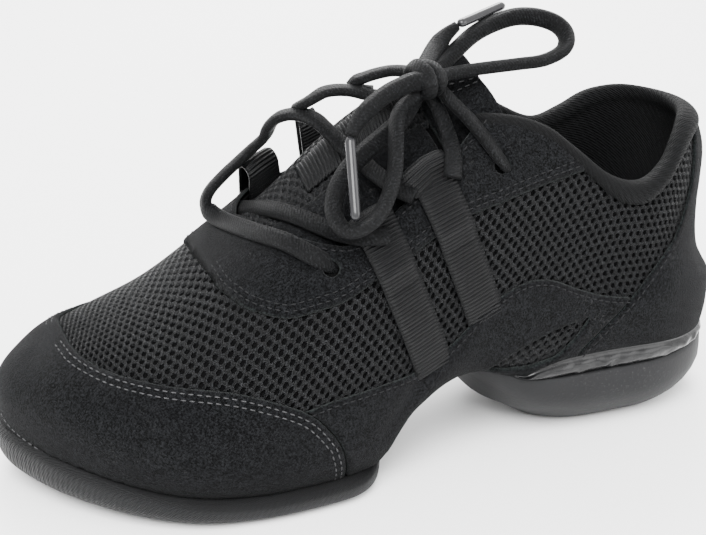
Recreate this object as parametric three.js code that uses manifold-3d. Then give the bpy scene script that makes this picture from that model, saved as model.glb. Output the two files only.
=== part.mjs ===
// A left dance sneaker with a split sole: a hollow mesh and suede upper, a padded collar, a tongue,
// webbing lace loops, a flat lace tied in a bow, a forefoot sole and a stacked heel.
// Millimetres. +X runs from heel to toe, +Y to the outer (lateral) side, +Z up.
// The origin is the middle of the heel's flat tread, on the floor.
import * as THREE from "three";
import { mergeVertices } from "three/addons/utils/BufferGeometryUtils.js";
import Module from "manifold-3d";

const wasm = await Module();
wasm.setup();

// Driving sizes of the last
const shoeLength = 258; // back of the heel to the tip of the toe, on the upper
const ballWidth = 98;
const instepHeight = 128; // floor to the top of the last above the instep
const heelLift = 24.5; // floor to the upper's underside at the heel
const foreLift = 7.5; // floor to the upper's underside at the ball
const archLift = 15.3; // how much higher the waist arches than a straight line
const toeSpring = 14;
const heelTreadCentre = 40.5; // from the back of the heel to the origin
const heelTuck = 1.5;
const toeTuck = 12;

// Driving sizes of the upper
const wall = 2;
const suede = 1.2;
const clearance = 0.3;
const lastingMargin = 11;
const fullness = 2.25; // exponent of the upper half of a section, where 2 is an ellipse
const featherShare = 0.86; // width of the flat underside as a share of the widest section
const insoleThickness = 3;
const collarHeight = 113; // back of the collar
const collarRoll = 8.4; // height of the padded roll
const collarPad = 3.5;
const collarRollDepth = 8;
const rollInset = 1.6; // how far inside the last's surface the middle of the roll lies
const trimShare = 0.62; // the suede and mesh stop this far down the roll
const liningDrop = 50; // how far the collar's lining reaches below its edge
const throatWidth = 62;
const eyeletDiameter = 5;
const tongueThickness = 3;
const tongueWidth = 82;
const keeperWidth = 12;
const keeperThickness = 1;

// Driving sizes of the webbing and the lace
const webbingWidth = 14;
const webbing = 1.2;
const webbingGap = 0.6;
const loopReach = 6; // how far a webbing loop stands past the edge of the throat
const loopTail = 5;
const laceDiameter = 4;
const barDiameter = 2.8;
const agletDiameter = 3.2;
const knot = { centre: [75, 18.5, 130], halfLength: 8, halfWidth: 6, halfHeight: 4.5 };

// Driving sizes of the soles
const soleGrow = 1.6; // how far a sole stands out past the feather line
const soleGap = 0.5; // between the upper's underside and what closes it
const foreSoleFrom = 0.532;
const heelSoleTo = 0.44;
const heelTreadTo = 0.3;

// Sections of the last in plan, from heel to toe. at is a share of shoeLength, and the rest are shares
// of ballWidth: out to the lateral and medial sides, and sideways to the ridge.
const planRows = [
  { at: 0, lateral: 0.33, medial: 0.32, ridge: 0 },
  { at: 0.05, lateral: 0.335, medial: 0.32, ridge: 0 },
  { at: 0.13, lateral: 0.345, medial: 0.33, ridge: 0 },
  { at: 0.23, lateral: 0.35, medial: 0.33, ridge: 0 },
  { at: 0.33, lateral: 0.36, medial: 0.325, ridge: -0.01 },
  { at: 0.42, lateral: 0.385, medial: 0.315, ridge: -0.02 },
  { at: 0.5, lateral: 0.425, medial: 0.35, ridge: -0.03 },
  { at: 0.555, lateral: 0.46, medial: 0.395, ridge: -0.035 },
  { at: 0.62, lateral: 0.495, medial: 0.44, ridge: -0.05 },
  { at: 0.71, lateral: 0.51, medial: 0.47, ridge: -0.07 },
  { at: 0.8, lateral: 0.485, medial: 0.485, ridge: -0.08 },
  { at: 0.88, lateral: 0.43, medial: 0.475, ridge: -0.09 },
  { at: 0.95, lateral: 0.36, medial: 0.45, ridge: -0.1 },
  { at: 1, lateral: 0.3, medial: 0.43, ridge: -0.1 },
];
// The same sections in height. heel, arch and spring say how much of heelLift, archLift and toeSpring
// the underside has there. widest and top are shares of instepHeight.
const profileRows = [
  { at: 0, heel: 1, arch: 0, spring: 0, widest: 0.32, top: 1.2 },
  { at: 0.05, heel: 1, arch: 0, spring: 0, widest: 0.32, top: 1.2 },
  { at: 0.13, heel: 1, arch: 0, spring: 0, widest: 0.32, top: 1.2 },
  { at: 0.23, heel: 1, arch: 0, spring: 0, widest: 0.32, top: 1.2 },
  { at: 0.33, heel: 0.9, arch: 0.2, spring: 0, widest: 0.34, top: 1.12 },
  { at: 0.42, heel: 0.6, arch: 1, spring: 0, widest: 0.35, top: 1 },
  { at: 0.5, heel: 0.3, arch: 0.915, spring: 0, widest: 0.27, top: 0.91 },
  { at: 0.555, heel: 0.05, arch: 0.1, spring: 0, widest: 0.215, top: 0.845 },
  { at: 0.62, heel: 0, arch: 0, spring: 0, widest: 0.17, top: 0.75 },
  { at: 0.71, heel: 0, arch: 0, spring: 0, widest: 0.16, top: 0.61 },
  { at: 0.8, heel: 0, arch: 0, spring: 0.14, widest: 0.17, top: 0.48 },
  { at: 0.88, heel: 0, arch: 0, spring: 0.42, widest: 0.2, top: 0.42 },
  { at: 0.95, heel: 0, arch: 0, spring: 0.76, widest: 0.235, top: 0.382 },
  { at: 1, heel: 0, arch: 0, spring: 1, widest: 0.25, top: 0.345 },
];
const heelRoundShare = 0.15; // the plan closes round the heel over this share of the length
const toeRoundShare = 0.24;
const toeRoundness = 2.15;

// How far the back of the heel leans in, in millimetres, by its height as a share of instepHeight.
// The stiff foot of the counter stands out below it.
const heelBackRows = [
  { up: 0.36, lean: 0 },
  { up: 0.405, lean: 3.2 },
  { up: 0.453, lean: 6.6 },
  { up: 0.515, lean: 8.2 },
  { up: 0.6, lean: 8.4 },
  { up: 0.664, lean: 7.6 },
  { up: 0.742, lean: 7.2 },
  { up: 0.82, lean: 9.8 },
  { up: 0.883, lean: 14.5 },
  { up: 0.953, lean: 19 },
];

// A smooth curve through one column of a table
function through(rows, column, along = "at") {
  const x = rows.map((row) => row[along]);
  const y = rows.map((row) => row[column]);
  const slope = (i) => {
    if (i === 0 || i === x.length - 1) return 0;
    return (y[i + 1] - y[i - 1]) / (x[i + 1] - x[i - 1]);
  };
  return (at) => {
    const t = Math.min(Math.max(at, x[0]), x[x.length - 1]);
    let i = 0;
    while (i < x.length - 2 && t > x[i + 1]) i += 1;
    const step = x[i + 1] - x[i];
    const u = (t - x[i]) / step;
    const a = y[i];
    const b = y[i + 1];
    const ta = slope(i) * step;
    const tb = slope(i + 1) * step;
    const curve = (2 * u ** 3 - 3 * u ** 2 + 1) * a + (3 * u ** 2 - 2 * u ** 3) * b;
    return curve + (u ** 3 - 2 * u ** 2 + u) * ta + (u ** 3 - u ** 2) * tb;
  };
}
function columnsOf(rows) {
  const names = Object.keys(rows[0]).filter((name) => name !== "at");
  return Object.fromEntries(names.map((name) => [name, through(rows, name)]));
}
const column = { ...columnsOf(planRows), ...columnsOf(profileRows) };
const heelLean = through(heelBackRows, "lean", "up");

const closing = (share, power) => Math.max(0, 1 - share ** power) ** (1 / power);
function planRound(s) {
  if (s < heelRoundShare) return closing(1 - s / heelRoundShare, 2);
  const toeStart = 1 - toeRoundShare;
  return s > toeStart ? closing((s - toeStart) / toeRoundShare, toeRoundness) : 1;
}
// The spline through the spring column dips just below nothing ahead of the ball
const toeRise = (s) => toeSpring * Math.max(0, column.spring(s));
const heelRise = (s) => (heelLift - foreLift) * Math.max(0, column.heel(s));
const undersideCurve = (s) => foreLift + heelRise(s) + archLift * Math.max(0, column.arch(s)) + toeRise(s);
// The underside is straight between stations, so that upper, soles and insole share its facets
const undersideRows = stations().map((s) => ({ s, z: undersideCurve(s) }));
function underside(s) {
  const next = Math.max(1, undersideRows.findIndex((row) => row.s >= s));
  const [a, b] = [undersideRows[next - 1], undersideRows[next]];
  return a.z + ((b.z - a.z) * (s - a.s)) / (b.s - a.s);
}

// The measures of one section of the last, grown by side outwards and upwards and by below downwards
function sectionAt(s, side = 0, below = side) {
  const bottom = underside(s);
  const round = planRound(s);
  const grown = (width) => (width * ballWidth + side) * round;
  return {
    s,
    centre: column.ridge(s) * ballWidth,
    lateral: grown(column.lateral(s) - column.ridge(s)),
    medial: grown(column.medial(s) + column.ridge(s)),
    bottom: bottom - below,
    widest: Math.max(column.widest(s) * instepHeight, bottom + 6),
    top: column.top(s) * instepHeight + side,
    grow: side,
  };
}
// Where a section's point at height z lies along the shoe, with the heel's back and the toe's front curved
function alongAt(section, z) {
  const { s, grow, bottom, widest, top } = section;
  const heelEnd = Math.max(0, 1 - s / heelRoundShare) ** 2;
  const toeEnd = Math.max(0, 1 - (1 - s) / toeRoundShare) ** 2;
  const span = s * shoeLength - heelTreadCentre + grow * (toeEnd - heelEnd);
  const heelPart = Math.max(0, 1 - s / 0.4) ** 2;
  const toePart = Math.max(0, (s - 0.8) / 0.2) ** 2;
  const below = Math.max(0, (widest - z) / (widest - bottom));
  const heel = heelLean(z / instepHeight) + heelTuck * below ** 2;
  const rise = Math.max(0, (z - widest) / (top - widest));
  const toe = toeTuck * rise ** 2;
  return span + heelPart * heel - toePart * toe;
}
// The half width of a section at height z above its widest point
function halfWidthAt(section, z, half) {
  const rise = (z - section.widest) / (section.top - section.widest);
  if (rise <= 0) {
    const drop = Math.min(1, (section.widest - z) / (section.widest - section.bottom));
    return half * (featherShare + (1 - featherShare) * closing(drop, 2));
  }
  return half * closing(Math.min(1, rise), fullness);
}
// A point on the last: side is 1 for lateral and -1 for medial
function onLast(s, z, side, grow = 0) {
  const section = sectionAt(s, grow);
  const half = side > 0 ? section.lateral : section.medial;
  return [alongAt(section, z), section.centre + side * halfWidthAt(section, z, half), z];
}
// Half of a section's outline, from the middle of the underside to the top of the ridge
const lowSteps = 2;
const highSteps = 6;
function halfOutline(section) {
  const points = [[0, section.bottom]];
  for (let i = 0; i <= lowSteps; i += 1) {
    const angle = (i / lowSteps) * (Math.PI / 2);
    const out = featherShare + (1 - featherShare) * Math.sin(angle);
    points.push([out, section.widest - (section.widest - section.bottom) * Math.cos(angle)]);
  }
  for (let i = 1; i <= highSteps; i += 1) {
    const angle = (i / highSteps) * (Math.PI / 2);
    const z = section.widest + (section.top - section.widest) * Math.sin(angle) ** (2 / fullness);
    points.push([Math.cos(angle) ** (2 / fullness), z]);
  }
  return points;
}
function stations() {
  const heelSteps = 4;
  const midSteps = 9;
  const toeSteps = 6;
  const list = [];
  const toeStart = 1 - toeRoundShare;
  const quarter = (share) => (share * Math.PI) / 2;
  for (let i = 0; i < heelSteps; i += 1) list.push(heelRoundShare * (1 - Math.cos(quarter(i / heelSteps))));
  const midStep = (toeStart - heelRoundShare) / midSteps;
  for (let i = 0; i < midSteps; i += 1) list.push(heelRoundShare + i * midStep);
  for (let i = 0; i <= toeSteps; i += 1) list.push(toeStart + toeRoundShare * Math.sin(quarter(i / toeSteps)));
  return list;
}

// Solids
function solidOf(geometry) {
  const bare = geometry.index ? geometry.toNonIndexed() : geometry.clone();
  bare.deleteAttribute("normal");
  bare.deleteAttribute("uv");
  const merged = mergeVertices(bare, 1e-4);
  return new wasm.Manifold(
    new wasm.Mesh({
      numProp: 3,
      vertProperties: merged.attributes.position.array,
      triVerts: new Uint32Array(merged.index.array),
    }),
  );
}
// A closed solid with its faces turned outwards
function solidFrom(vertices, triangles) {
  const vertProperties = new Float32Array(vertices.flat());
  const make = (list) => {
    const triVerts = new Uint32Array(list.flat());
    return new wasm.Manifold(new wasm.Mesh({ numProp: 3, vertProperties, triVerts }));
  };
  const solid = make(triangles);
  return solid.volume() < 0 ? make(triangles.map(([a, b, c]) => [a, c, b])) : solid;
}
// A closed last-shaped form; its two end sections are lines, whose sides are sewn together
function lastForm(side, below = side) {
  const rings = stations().map((s) => {
    const section = sectionAt(s, side, below);
    const half = halfOutline(section);
    const ring = half.map(([out, z]) => [alongAt(section, z), section.centre + section.lateral * out, z]);
    for (let i = half.length - 2; i > 0; i -= 1) {
      const [out, z] = half[i];
      ring.push([alongAt(section, z), section.centre - section.medial * out, z]);
    }
    return ring;
  });
  const count = rings[0].length;
  const vertices = [];
  const index = rings.map((ring, r) => {
    const isEnd = r === 0 || r === rings.length - 1;
    const own = [];
    ring.forEach((point, j) => {
      if (isEnd && j > count / 2) own.push(own[count - j]);
      else own.push(vertices.push(point) - 1);
    });
    return own;
  });
  const triangles = [];
  for (let r = 0; r + 1 < rings.length; r += 1) {
    for (let j = 0; j < count; j += 1) {
      const k = (j + 1) % count;
      const [a, b, c, d] = [index[r][j], index[r][k], index[r + 1][k], index[r + 1][j]];
      if (a !== b) triangles.push([a, c, b]);
      if (c !== d) triangles.push([a, d, c]);
    }
  }
  return solidFrom(vertices, triangles.filter(([a, b, c]) => a !== b && b !== c && a !== c));
}

const across = 300; // longer than any width, for cutters
const headroom = 60; // how far a cutter reaches past what it cuts
const fromHeel = (distance) => distance - heelTreadCentre;
const along = (share) => fromHeel(share * shoeLength);
const up = (share) => share * instepHeight;

// The outline of a cutter that stands on its side, from rows of at and up, moved by a gap
function rowsToPoints(rows, shiftX = 0, shiftZ = 0) {
  return rows.map((row) => [along(row.at) + shiftX, up(row.up) + shiftZ]);
}
function smoothShape(points, corners) {
  const shape = new THREE.Shape();
  const list = points.map(([a, b]) => new THREE.Vector2(a, b));
  shape.moveTo(list[0].x, list[0].y);
  shape.splineThru(list.slice(1));
  corners.forEach(([a, b]) => shape.lineTo(a, b));
  shape.closePath();
  return shape;
}
// A side-view outline, in x and z, cut across the shoe
function sidePrism(shape, segments = 3, from = -across / 2, to = across / 2) {
  const options = { depth: to - from, bevelEnabled: false, curveSegments: segments };
  const geometry = new THREE.ExtrudeGeometry(shape, options);
  geometry.rotateX(Math.PI / 2).translate(0, to, 0);
  return solidOf(geometry);
}
// A plan outline, in x and y, cut from one height to another
function planPrism(shape, low, high, segments = 3) {
  const options = { depth: high - low, bevelEnabled: false, curveSegments: segments };
  const geometry = new THREE.ExtrudeGeometry(shape, options);
  return solidOf(geometry.translate(0, 0, low));
}
const boxSolid = (min, max) => {
  const size = max.map((value, i) => value - min[i]);
  const middle = max.map((value, i) => (value + min[i]) / 2);
  return solidOf(new THREE.BoxGeometry(...size).translate(...middle));
};
// A skin between two sizes of the last
const skin = (inside, thickness) => lastForm(inside + thickness).subtract(lastForm(inside));

// Rings of points, joined in order and closed at both ends
function loft(rings) {
  const count = rings[0].length;
  const vertices = rings.flat();
  const triangles = [];
  for (let r = 0; r + 1 < rings.length; r += 1) {
    for (let j = 0; j < count; j += 1) {
      const k = (j + 1) % count;
      const [a, b, c, d] = [r * count + j, r * count + k, (r + 1) * count + k, (r + 1) * count + j];
      triangles.push([a, b, c], [a, c, d]);
    }
  }
  const last = (rings.length - 1) * count;
  for (let j = 1; j + 1 < count; j += 1) {
    triangles.push([0, j + 1, j], [last, last + j, last + j + 1]);
  }
  return solidFrom(vertices, triangles);
}

const floorLine = -headroom;
// All that lies below the last's underside, raised by some amount
function undersidePrism(rise) {
  const line = undersideRows.map((row) => [along(row.s), row.z + rise]);
  const [first, last] = [line[0], line[line.length - 1]];
  const outline = [
    [first[0] - headroom, first[1]],
    ...line,
    [last[0] + headroom, last[1]],
    [last[0] + headroom, floorLine],
    [first[0] - headroom, floorLine],
  ];
  return sidePrism(new THREE.Shape(outline.map(([a, b]) => new THREE.Vector2(a, b))));
}

// Soles: a stack of plan outlines that follow the last
const crossSteps = 13; // stations of a sole outline, closer together at its ends
function soleOutline({ from, to, grow, round, height }) {
  const edges = { lateral: [], medial: [] };
  const start = along(from) - (from === 0 ? grow : 0);
  const end = along(to) + (to === 1 ? grow : 0);
  const half = (width, u) => (width * ballWidth + grow) * round(u);
  const eased = (i) => (1 - Math.cos((i / crossSteps) * Math.PI)) / 2;
  const steps = Array.from({ length: crossSteps + 1 }, (_, i) => start + (end - start) * eased(i));
  // Each bend of the underside takes over the step that lies nearest to it
  const bends = undersideRows.map((row) => along(row.s)).filter((bend) => bend > start && bend < end);
  bends.forEach((bend) => {
    const inner = steps.slice(1, -1).map((x) => Math.abs(x - bend));
    steps[1 + inner.indexOf(Math.min(...inner))] = bend;
  });
  for (let i = 0; i <= crossSteps; i += 1) {
    const x = steps[i];
    const u = (x - start) / (end - start);
    const s = Math.min(Math.max((x + heelTreadCentre) / shoeLength, 0), 1);
    const centre = column.ridge(s) * ballWidth;
    const z = height(s);
    edges.lateral.push([x, centre + half(column.lateral(s) - column.ridge(s), u), z]);
    edges.medial.push([x, centre - half(column.medial(s) + column.ridge(s), u), z]);
  }
  return [...edges.lateral, ...edges.medial.slice(1, -1).reverse()];
}
function soleSolid(levels) {
  const rings = levels.map(soleOutline);
  const count = rings[0].length;
  const vertices = rings.flat();
  const triangles = [];
  for (let r = 0; r + 1 < rings.length; r += 1) {
    for (let j = 0; j < count; j += 1) {
      const k = (j + 1) % count;
      const [a, b, c, d] = [r * count + j, r * count + k, (r + 1) * count + k, (r + 1) * count + j];
      triangles.push([a, b, c], [a, c, d]);
    }
  }
  // Each cap is strips from the lateral edge to the medial edge
  const cap = (base, flip) => {
    const other = (i) => (i === 0 || i === crossSteps ? i : count - i);
    for (let i = 0; i < crossSteps; i += 1) {
      const quad = [i, i + 1, other(i + 1), other(i)].map((index) => base + index);
      const pair = [[quad[0], quad[1], quad[2]], [quad[0], quad[2], quad[3]]];
      pair.forEach(([a, b, c]) => {
        if (a !== b && b !== c && a !== c) triangles.push(flip ? [a, c, b] : [a, b, c]);
      });
    }
  };
  cap(0, true);
  cap((rings.length - 1) * count, false);
  return solidFrom(vertices, triangles);
}
const soleTop = (s) => underside(s) - soleGap;
// A plan that closes round its back over one share of its length and round its front over another
const roundedPlan = (back, front) => (u) => {
  const rear = closing(Math.max(0, 1 - u / back.share), back.power);
  return Math.min(rear, closing(Math.max(0, 1 - (1 - u) / front.share), front.power));
};
const foreRound = roundedPlan({ share: 0.2, power: 3.2 }, { share: 0.52, power: 2.1 });
const heelRound = roundedPlan({ share: 0.42, power: 2 }, { share: 0.45, power: 2.6 });
// Rows from the floor to the top; rise is how much of the toe's spring that level takes
const foreLevels = [
  { grow: -5, lift: 0, rise: 0.4 },
  { grow: -1.6, lift: 0.15, rise: 0.45 },
  { grow: 1.1, lift: 0.45, rise: 0.62 },
  { grow: 1.6, lift: 0.74, rise: 0.84 },
  { grow: 0.9, lift: 1, rise: 1 },
].map((row) => ({
  from: foreSoleFrom,
  to: 1,
  grow: row.grow + soleGrow,
  round: foreRound,
  height: (s) => row.lift * (soleTop(s) - toeRise(s)) + toeRise(s) * row.rise,
}));
const floorUpTo = (height) => (s) => Math.min(height, soleTop(s) * (height / heelLift));

const forefootSole = soleSolid(foreLevels);
const heelSole = soleSolid([
  { from: 0, to: heelTreadTo, grow: -11.5, round: heelRound, height: () => 0 },
  { from: 0, to: heelTreadTo + 0.015, grow: -7.5, round: heelRound, height: () => 1.8 },
  { from: 0, to: heelTreadTo + 0.035, grow: -2.6, round: heelRound, height: floorUpTo(6) },
  { from: 0, to: heelTreadTo + 0.07, grow: 0.6, round: heelRound, height: floorUpTo(11) },
  { from: 0, to: heelSoleTo - 0.01, grow: 1.3, round: heelRound, height: (s) => soleTop(s) - 1.2 },
  { from: 0, to: heelSoleTo, grow: 0.7, round: heelRound, height: soleTop },
]);
// The glossy band round the heel stands on the sole's rim and wraps the upper's lower edge
const bandRows = [
  { at: 0, up: 0.215 },
  { at: 0.06, up: 0.225 },
  { at: 0.145, up: 0.242 },
  { at: 0.27, up: 0.242 },
  { at: 0.315, up: 0.224 },
  { at: 0.345, up: 0.2 },
];
const bandUp = through(bandRows, "up");
const bandTo = 0.35;
const bandBottom = (s) => underside(s) - soleGap + clearance;
const bandTop = (s) => Math.max(bandBottom(s) + clearance, up(bandUp(s)));
const bandRound = roundedPlan({ share: 0.42, power: 2 }, { share: 0.1, power: 2.6 });
const bandLevels = [
  { grow: 0.8, lift: 0 },
  { grow: 1.8, lift: 0.35 },
  { grow: 1.8, lift: 0.75 },
  { grow: 1.1, lift: 1 },
].map((row) => ({
  from: 0,
  to: bandTo,
  grow: row.grow,
  round: bandRound,
  height: (s) => bandBottom(s) + row.lift * (bandTop(s) - bandBottom(s)),
}));
const heelRand = soleSolid(bandLevels).subtract(lastForm(clearance));
// What lies below the band's top edge, which the suede stops short of
function underBand() {
  const shares = Array.from({ length: 12 }, (_, i) => (i / 11) * bandTo);
  const line = shares.map((s) => [along(s), bandTop(s) + clearance]);
  const [first, last] = [line[0], line[line.length - 1]];
  const outline = [[first[0] - headroom, first[1]], ...line, [last[0], floorLine], [first[0] - headroom, floorLine]];
  return sidePrism(new THREE.Shape(outline.map(([a, b]) => new THREE.Vector2(a, b))));
}

// The collar's edge in side view, from the top of the eyestay round to the heel
const collarRows = [
  { at: 0.0, lateral: 0.982, medial: 0.982 },
  { at: 0.05, lateral: 0.97, medial: 0.985 },
  { at: 0.085, lateral: 0.927, medial: 0.975 },
  { at: 0.12, lateral: 0.855, medial: 0.955 },
  { at: 0.16, lateral: 0.81, medial: 0.915 },
  { at: 0.21, lateral: 0.84, medial: 0.885 },
  { at: 0.263, lateral: 0.935, medial: 0.935 },
  { at: 0.3, lateral: 1.0, medial: 0.99 },
  { at: 0.35, lateral: 1.04, medial: 1.04 },
  { at: 0.41, lateral: 1.05, medial: 1.05 },
];
const collarShare = { lateral: through(collarRows, "lateral"), medial: through(collarRows, "medial") };
const nameOf = (side) => (side > 0 ? "lateral" : "medial");
const collarAt = (s, side) => collarHeight * collarShare[nameOf(side)](s);
const collarEnd = 0.4;
// Where the upper and what lies on it stop under the collar's roll
function collarSideCut(drop, side) {
  const points = [];
  for (let i = 0; i <= 14; i += 1) {
    const s = (i / 14) * collarEnd;
    const z = collarAt(s, side) - drop;
    points.push([alongAt(sectionAt(s), z), z]);
  }
  const [backX, backZ] = points[0];
  const [frontX, frontZ] = points[points.length - 1];
  const roof = up(1.2) + headroom;
  const front = [[frontX + collarRoll / 2, frontZ + collarRoll / 3], [along(0.5), roof]];
  const outline = [[backX - headroom, backZ], ...points, ...front, [backX - headroom, roof]];
  const shape = new THREE.Shape(outline.map(([a, b]) => new THREE.Vector2(a, b)));
  return side > 0 ? sidePrism(shape, 1, 0, across) : sidePrism(shape, 1, -across, 0);
}
const collarCut = (drop) => collarSideCut(drop, 1).add(collarSideCut(drop, -1));
const rollCentreDrop = collarRoll / 2;
const trimDrop = collarRoll * trimShare;
const aboveTrim = collarCut(trimDrop);

// The throat, in plan
const throatRows = [
  { at: 0.684, lateral: 0.0, medial: 0.0 },
  { at: 0.67, lateral: 0.24, medial: 0.14 },
  { at: 0.636, lateral: 0.475, medial: 0.29 },
  { at: 0.585, lateral: 0.59, medial: 0.37 },
  { at: 0.511, lateral: 0.535, medial: 0.39 },
  { at: 0.45, lateral: 0.47, medial: 0.39 },
  { at: 0.38, lateral: 0.37, medial: 0.36 },
];
function throatPrism() {
  const edge = (row, side) => {
    const out = row[nameOf(side)] * throatWidth;
    return [along(row.at), column.ridge(row.at) * ballWidth + side * out];
  };
  const lateral = [...throatRows].reverse().map((row) => edge(row, 1));
  const medial = throatRows.slice(1).map((row) => edge(row, -1));
  return planPrism(smoothShape([...lateral, ...medial], []), up(0.4), up(1.2) + headroom, 2);
}

// A hole square to the surface
function eyeletHole(place, side) {
  const at = onLast(place.at, up(place.up), side);
  const outer = onLast(place.at, up(place.up), side, 4);
  const above = onLast(place.at, up(place.up) + 3, side);
  const front = onLast(place.at + 0.01, up(place.up), side);
  const v = (a, b) => new THREE.Vector3(a[0] - b[0], a[1] - b[1], a[2] - b[2]);
  const normal = v(above, at).cross(v(front, at)).normalize();
  if (normal.dot(v(outer, at)) < 0) normal.negate();
  const turn = new THREE.Quaternion().setFromUnitVectors(new THREE.Vector3(0, 1, 0), normal);
  const geometry = new THREE.CylinderGeometry(eyeletDiameter / 2, eyeletDiameter / 2, 14, 10);
  return { normal, at, solid: solidOf(geometry.applyQuaternion(turn).translate(...at)) };
}
const eyeletRows = [
  { side: 1, at: 0.612, up: 0.6 },
  { side: 1, at: 0.375, up: 0.8 },
  { side: -1, at: 0.645, up: 0.61 },
  { side: -1, at: 0.375, up: 0.8 },
];
const eyelets = eyeletRows.map((row) => eyeletHole(row, row.side));
const punch = (solid) => eyelets.reduce((made, hole) => made.subtract(hole.solid), solid);

// The upper: one hollow shell, closed round the waist, open above and over both soles
function soleOpening(from, to) {
  const points = (side) => {
    const list = [];
    for (let i = 0; i <= 8; i += 1) {
      const u = (1 - Math.cos((i / 8) * Math.PI)) / 2;
      const s = from + (to - from) * u;
      const section = sectionAt(s);
      const half = (side > 0 ? section.lateral : section.medial) - lastingMargin;
      const round = closing(Math.abs(2 * u - 1), 4);
      list.push([along(s), section.centre + side * Math.max(half, 2) * round]);
    }
    return list;
  };
  const outline = [...points(1), ...points(-1).slice(1, -1).reverse()];
  return planPrism(new THREE.Shape(outline.map(([a, b]) => new THREE.Vector2(a, b))), -headroom, up(0.36));
}
const openings = [soleOpening(0.05, 0.34), soleOpening(0.58, 0.955)];
const upperShell = lastForm(0).subtract(lastForm(-wall)).subtract(aboveTrim).subtract(throatPrism());
const upper = punch(openings.reduce((made, opening) => made.subtract(opening), upperShell));

const innerFloor = wall + clearance;
const insoleRise = innerFloor + soleGap;
const insoleTop = undersidePrism(insoleRise + insoleThickness);
const insole = lastForm(-(innerFloor + soleGap), -insoleRise).intersect(insoleTop);

// Suede pieces on the upper, each inside a side-view outline
const wholeSkin = skin(clearance, suede).subtract(aboveTrim).subtract(undersidePrism(0));
const suedeSkin = wholeSkin.subtract(underBand());
const guardRows = [
  { at: 0.604, up: -0.05 },
  { at: 0.612, up: 0.12 },
  { at: 0.632, up: 0.21 },
  { at: 0.67, up: 0.285 },
  { at: 0.746, up: 0.345 },
  { at: 0.83, up: 0.358 },
  { at: 0.89, up: 0.372 },
  { at: 0.918, up: 0.395 },
  { at: 0.93, up: 0.48 },
];
const toeReach = along(1) + headroom;
const guardPrism = (gap) =>
  sidePrism(
    smoothShape(rowsToPoints(guardRows, -gap, gap), [
      [along(0.93), up(1)],
      [toeReach, up(1)],
      [toeReach, floorLine],
      [along(0.604) - gap, floorLine],
    ]),
  );
const counterRows = [
  { at: 0.29, up: 0.1 },
  { at: 0.26, up: 0.245 },
  { at: 0.225, up: 0.315 },
  { at: 0.18, up: 0.4 },
  { at: 0.135, up: 0.49 },
  { at: 0.105, up: 0.55 },
  { at: 0.082, up: 0.64 },
  { at: 0.072, up: 0.76 },
  { at: 0.066, up: 1.0 },
];
const backReach = along(0) - headroom;
const counterPrism = (gap) =>
  sidePrism(
    smoothShape(rowsToPoints(counterRows, gap, 0), [
      [backReach, up(1)],
      [backReach, floorLine],
      [along(0.29) + gap, floorLine],
    ]),
  );
const panelRows = [
  { at: 0.7, up: 0.27 },
  { at: 0.62, up: 0.296 },
  { at: 0.56, up: 0.304 },
  { at: 0.5, up: 0.316 },
  { at: 0.455, up: 0.362 },
  { at: 0.405, up: 0.438 },
  { at: 0.355, up: 0.485 },
  { at: 0.31, up: 0.485 },
  { at: 0.26, up: 0.44 },
  { at: 0.21, up: 0.405 },
  { at: 0.14, up: 0.39 },
];
const panelPrism = (gap) =>
  sidePrism(
    smoothShape(rowsToPoints(panelRows, 0, gap), [
      [along(0.14), floorLine],
      [along(0.7), floorLine],
    ]),
  );
const windowRows = [
  { at: 0.39, up: 0.262 },
  { at: 0.345, up: 0.325 },
  { at: 0.25, up: 0.352 },
  { at: 0.275, up: 0.29 },
  { at: 0.3, up: 0.25 },
];
const windowShape = new THREE.Shape(rowsToPoints(windowRows).map(([a, b]) => new THREE.Vector2(a, b)));
const sideHalf = (side) => {
  const [low, high] = side > 0 ? [clearance, across] : [-across, -clearance];
  return boxSolid([-across, low, -across], [across, high, across]);
};

const toeGuard = suedeSkin.intersect(guardPrism(0));
const heelCounter = suedeSkin.intersect(counterPrism(0));
const panels = suedeSkin
  .intersect(panelPrism(0))
  .subtract(guardPrism(clearance))
  .subtract(counterPrism(clearance))
  .subtract(sidePrism(windowShape));

const eyestayRows = [
  { at: 0.745, up: 0.75 },
  { at: 0.742, up: 0.56 },
  { at: 0.728, up: 0.525 },
  { at: 0.705, up: 0.508 },
  { at: 0.674, up: 0.498 },
  { at: 0.641, up: 0.509 },
  { at: 0.6, up: 0.528 },
  { at: 0.56, up: 0.565 },
  { at: 0.51, up: 0.61 },
  { at: 0.47, up: 0.65 },
  { at: 0.428, up: 0.685 },
  { at: 0.375, up: 0.71 },
  { at: 0.32, up: 0.737 },
  { at: 0.25, up: 0.765 },
  { at: 0.21, up: 0.775 },
];
const eyestayShape = smoothShape(rowsToPoints(eyestayRows), [
  [along(0.21), up(1.2) + headroom],
  [along(0.745), up(1.2) + headroom],
]);
const eyestay = punch(suedeSkin.intersect(sidePrism(eyestayShape)).subtract(throatPrism()));

// The collar: a padded roll along the edge, joined to the lining inside
function collarRing(s, side) {
  const ring = [];
  const z = collarAt(s, side) - rollCentreDrop;
  for (let i = 0; i < 10; i += 1) {
    const angle = (i / 10) * Math.PI * 2;
    const grow = (collarRollDepth / 2) * Math.cos(angle) - rollInset;
    ring.push(onLast(s, z + rollCentreDrop * Math.sin(angle), side, grow));
  }
  return ring;
}
const rollSteps = 13;
const rollShares = Array.from({ length: rollSteps + 1 }, (_, i) => {
  const angle = ((i / rollSteps) * Math.PI) / 2;
  return collarEnd * (1 - Math.cos(angle));
});
const roll = loft([
  ...[...rollShares].reverse().map((s) => collarRing(s, 1)),
  ...rollShares.slice(1).map((s) => collarRing(s, -1)),
]);
const liningRegion = collarCut(rollCentreDrop);
const liningFloor = collarHeight - liningDrop;
const liningEnd = 0.37;
const liningBox = boxSolid([-across, -across, liningFloor], [along(liningEnd), across, across]);
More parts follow.
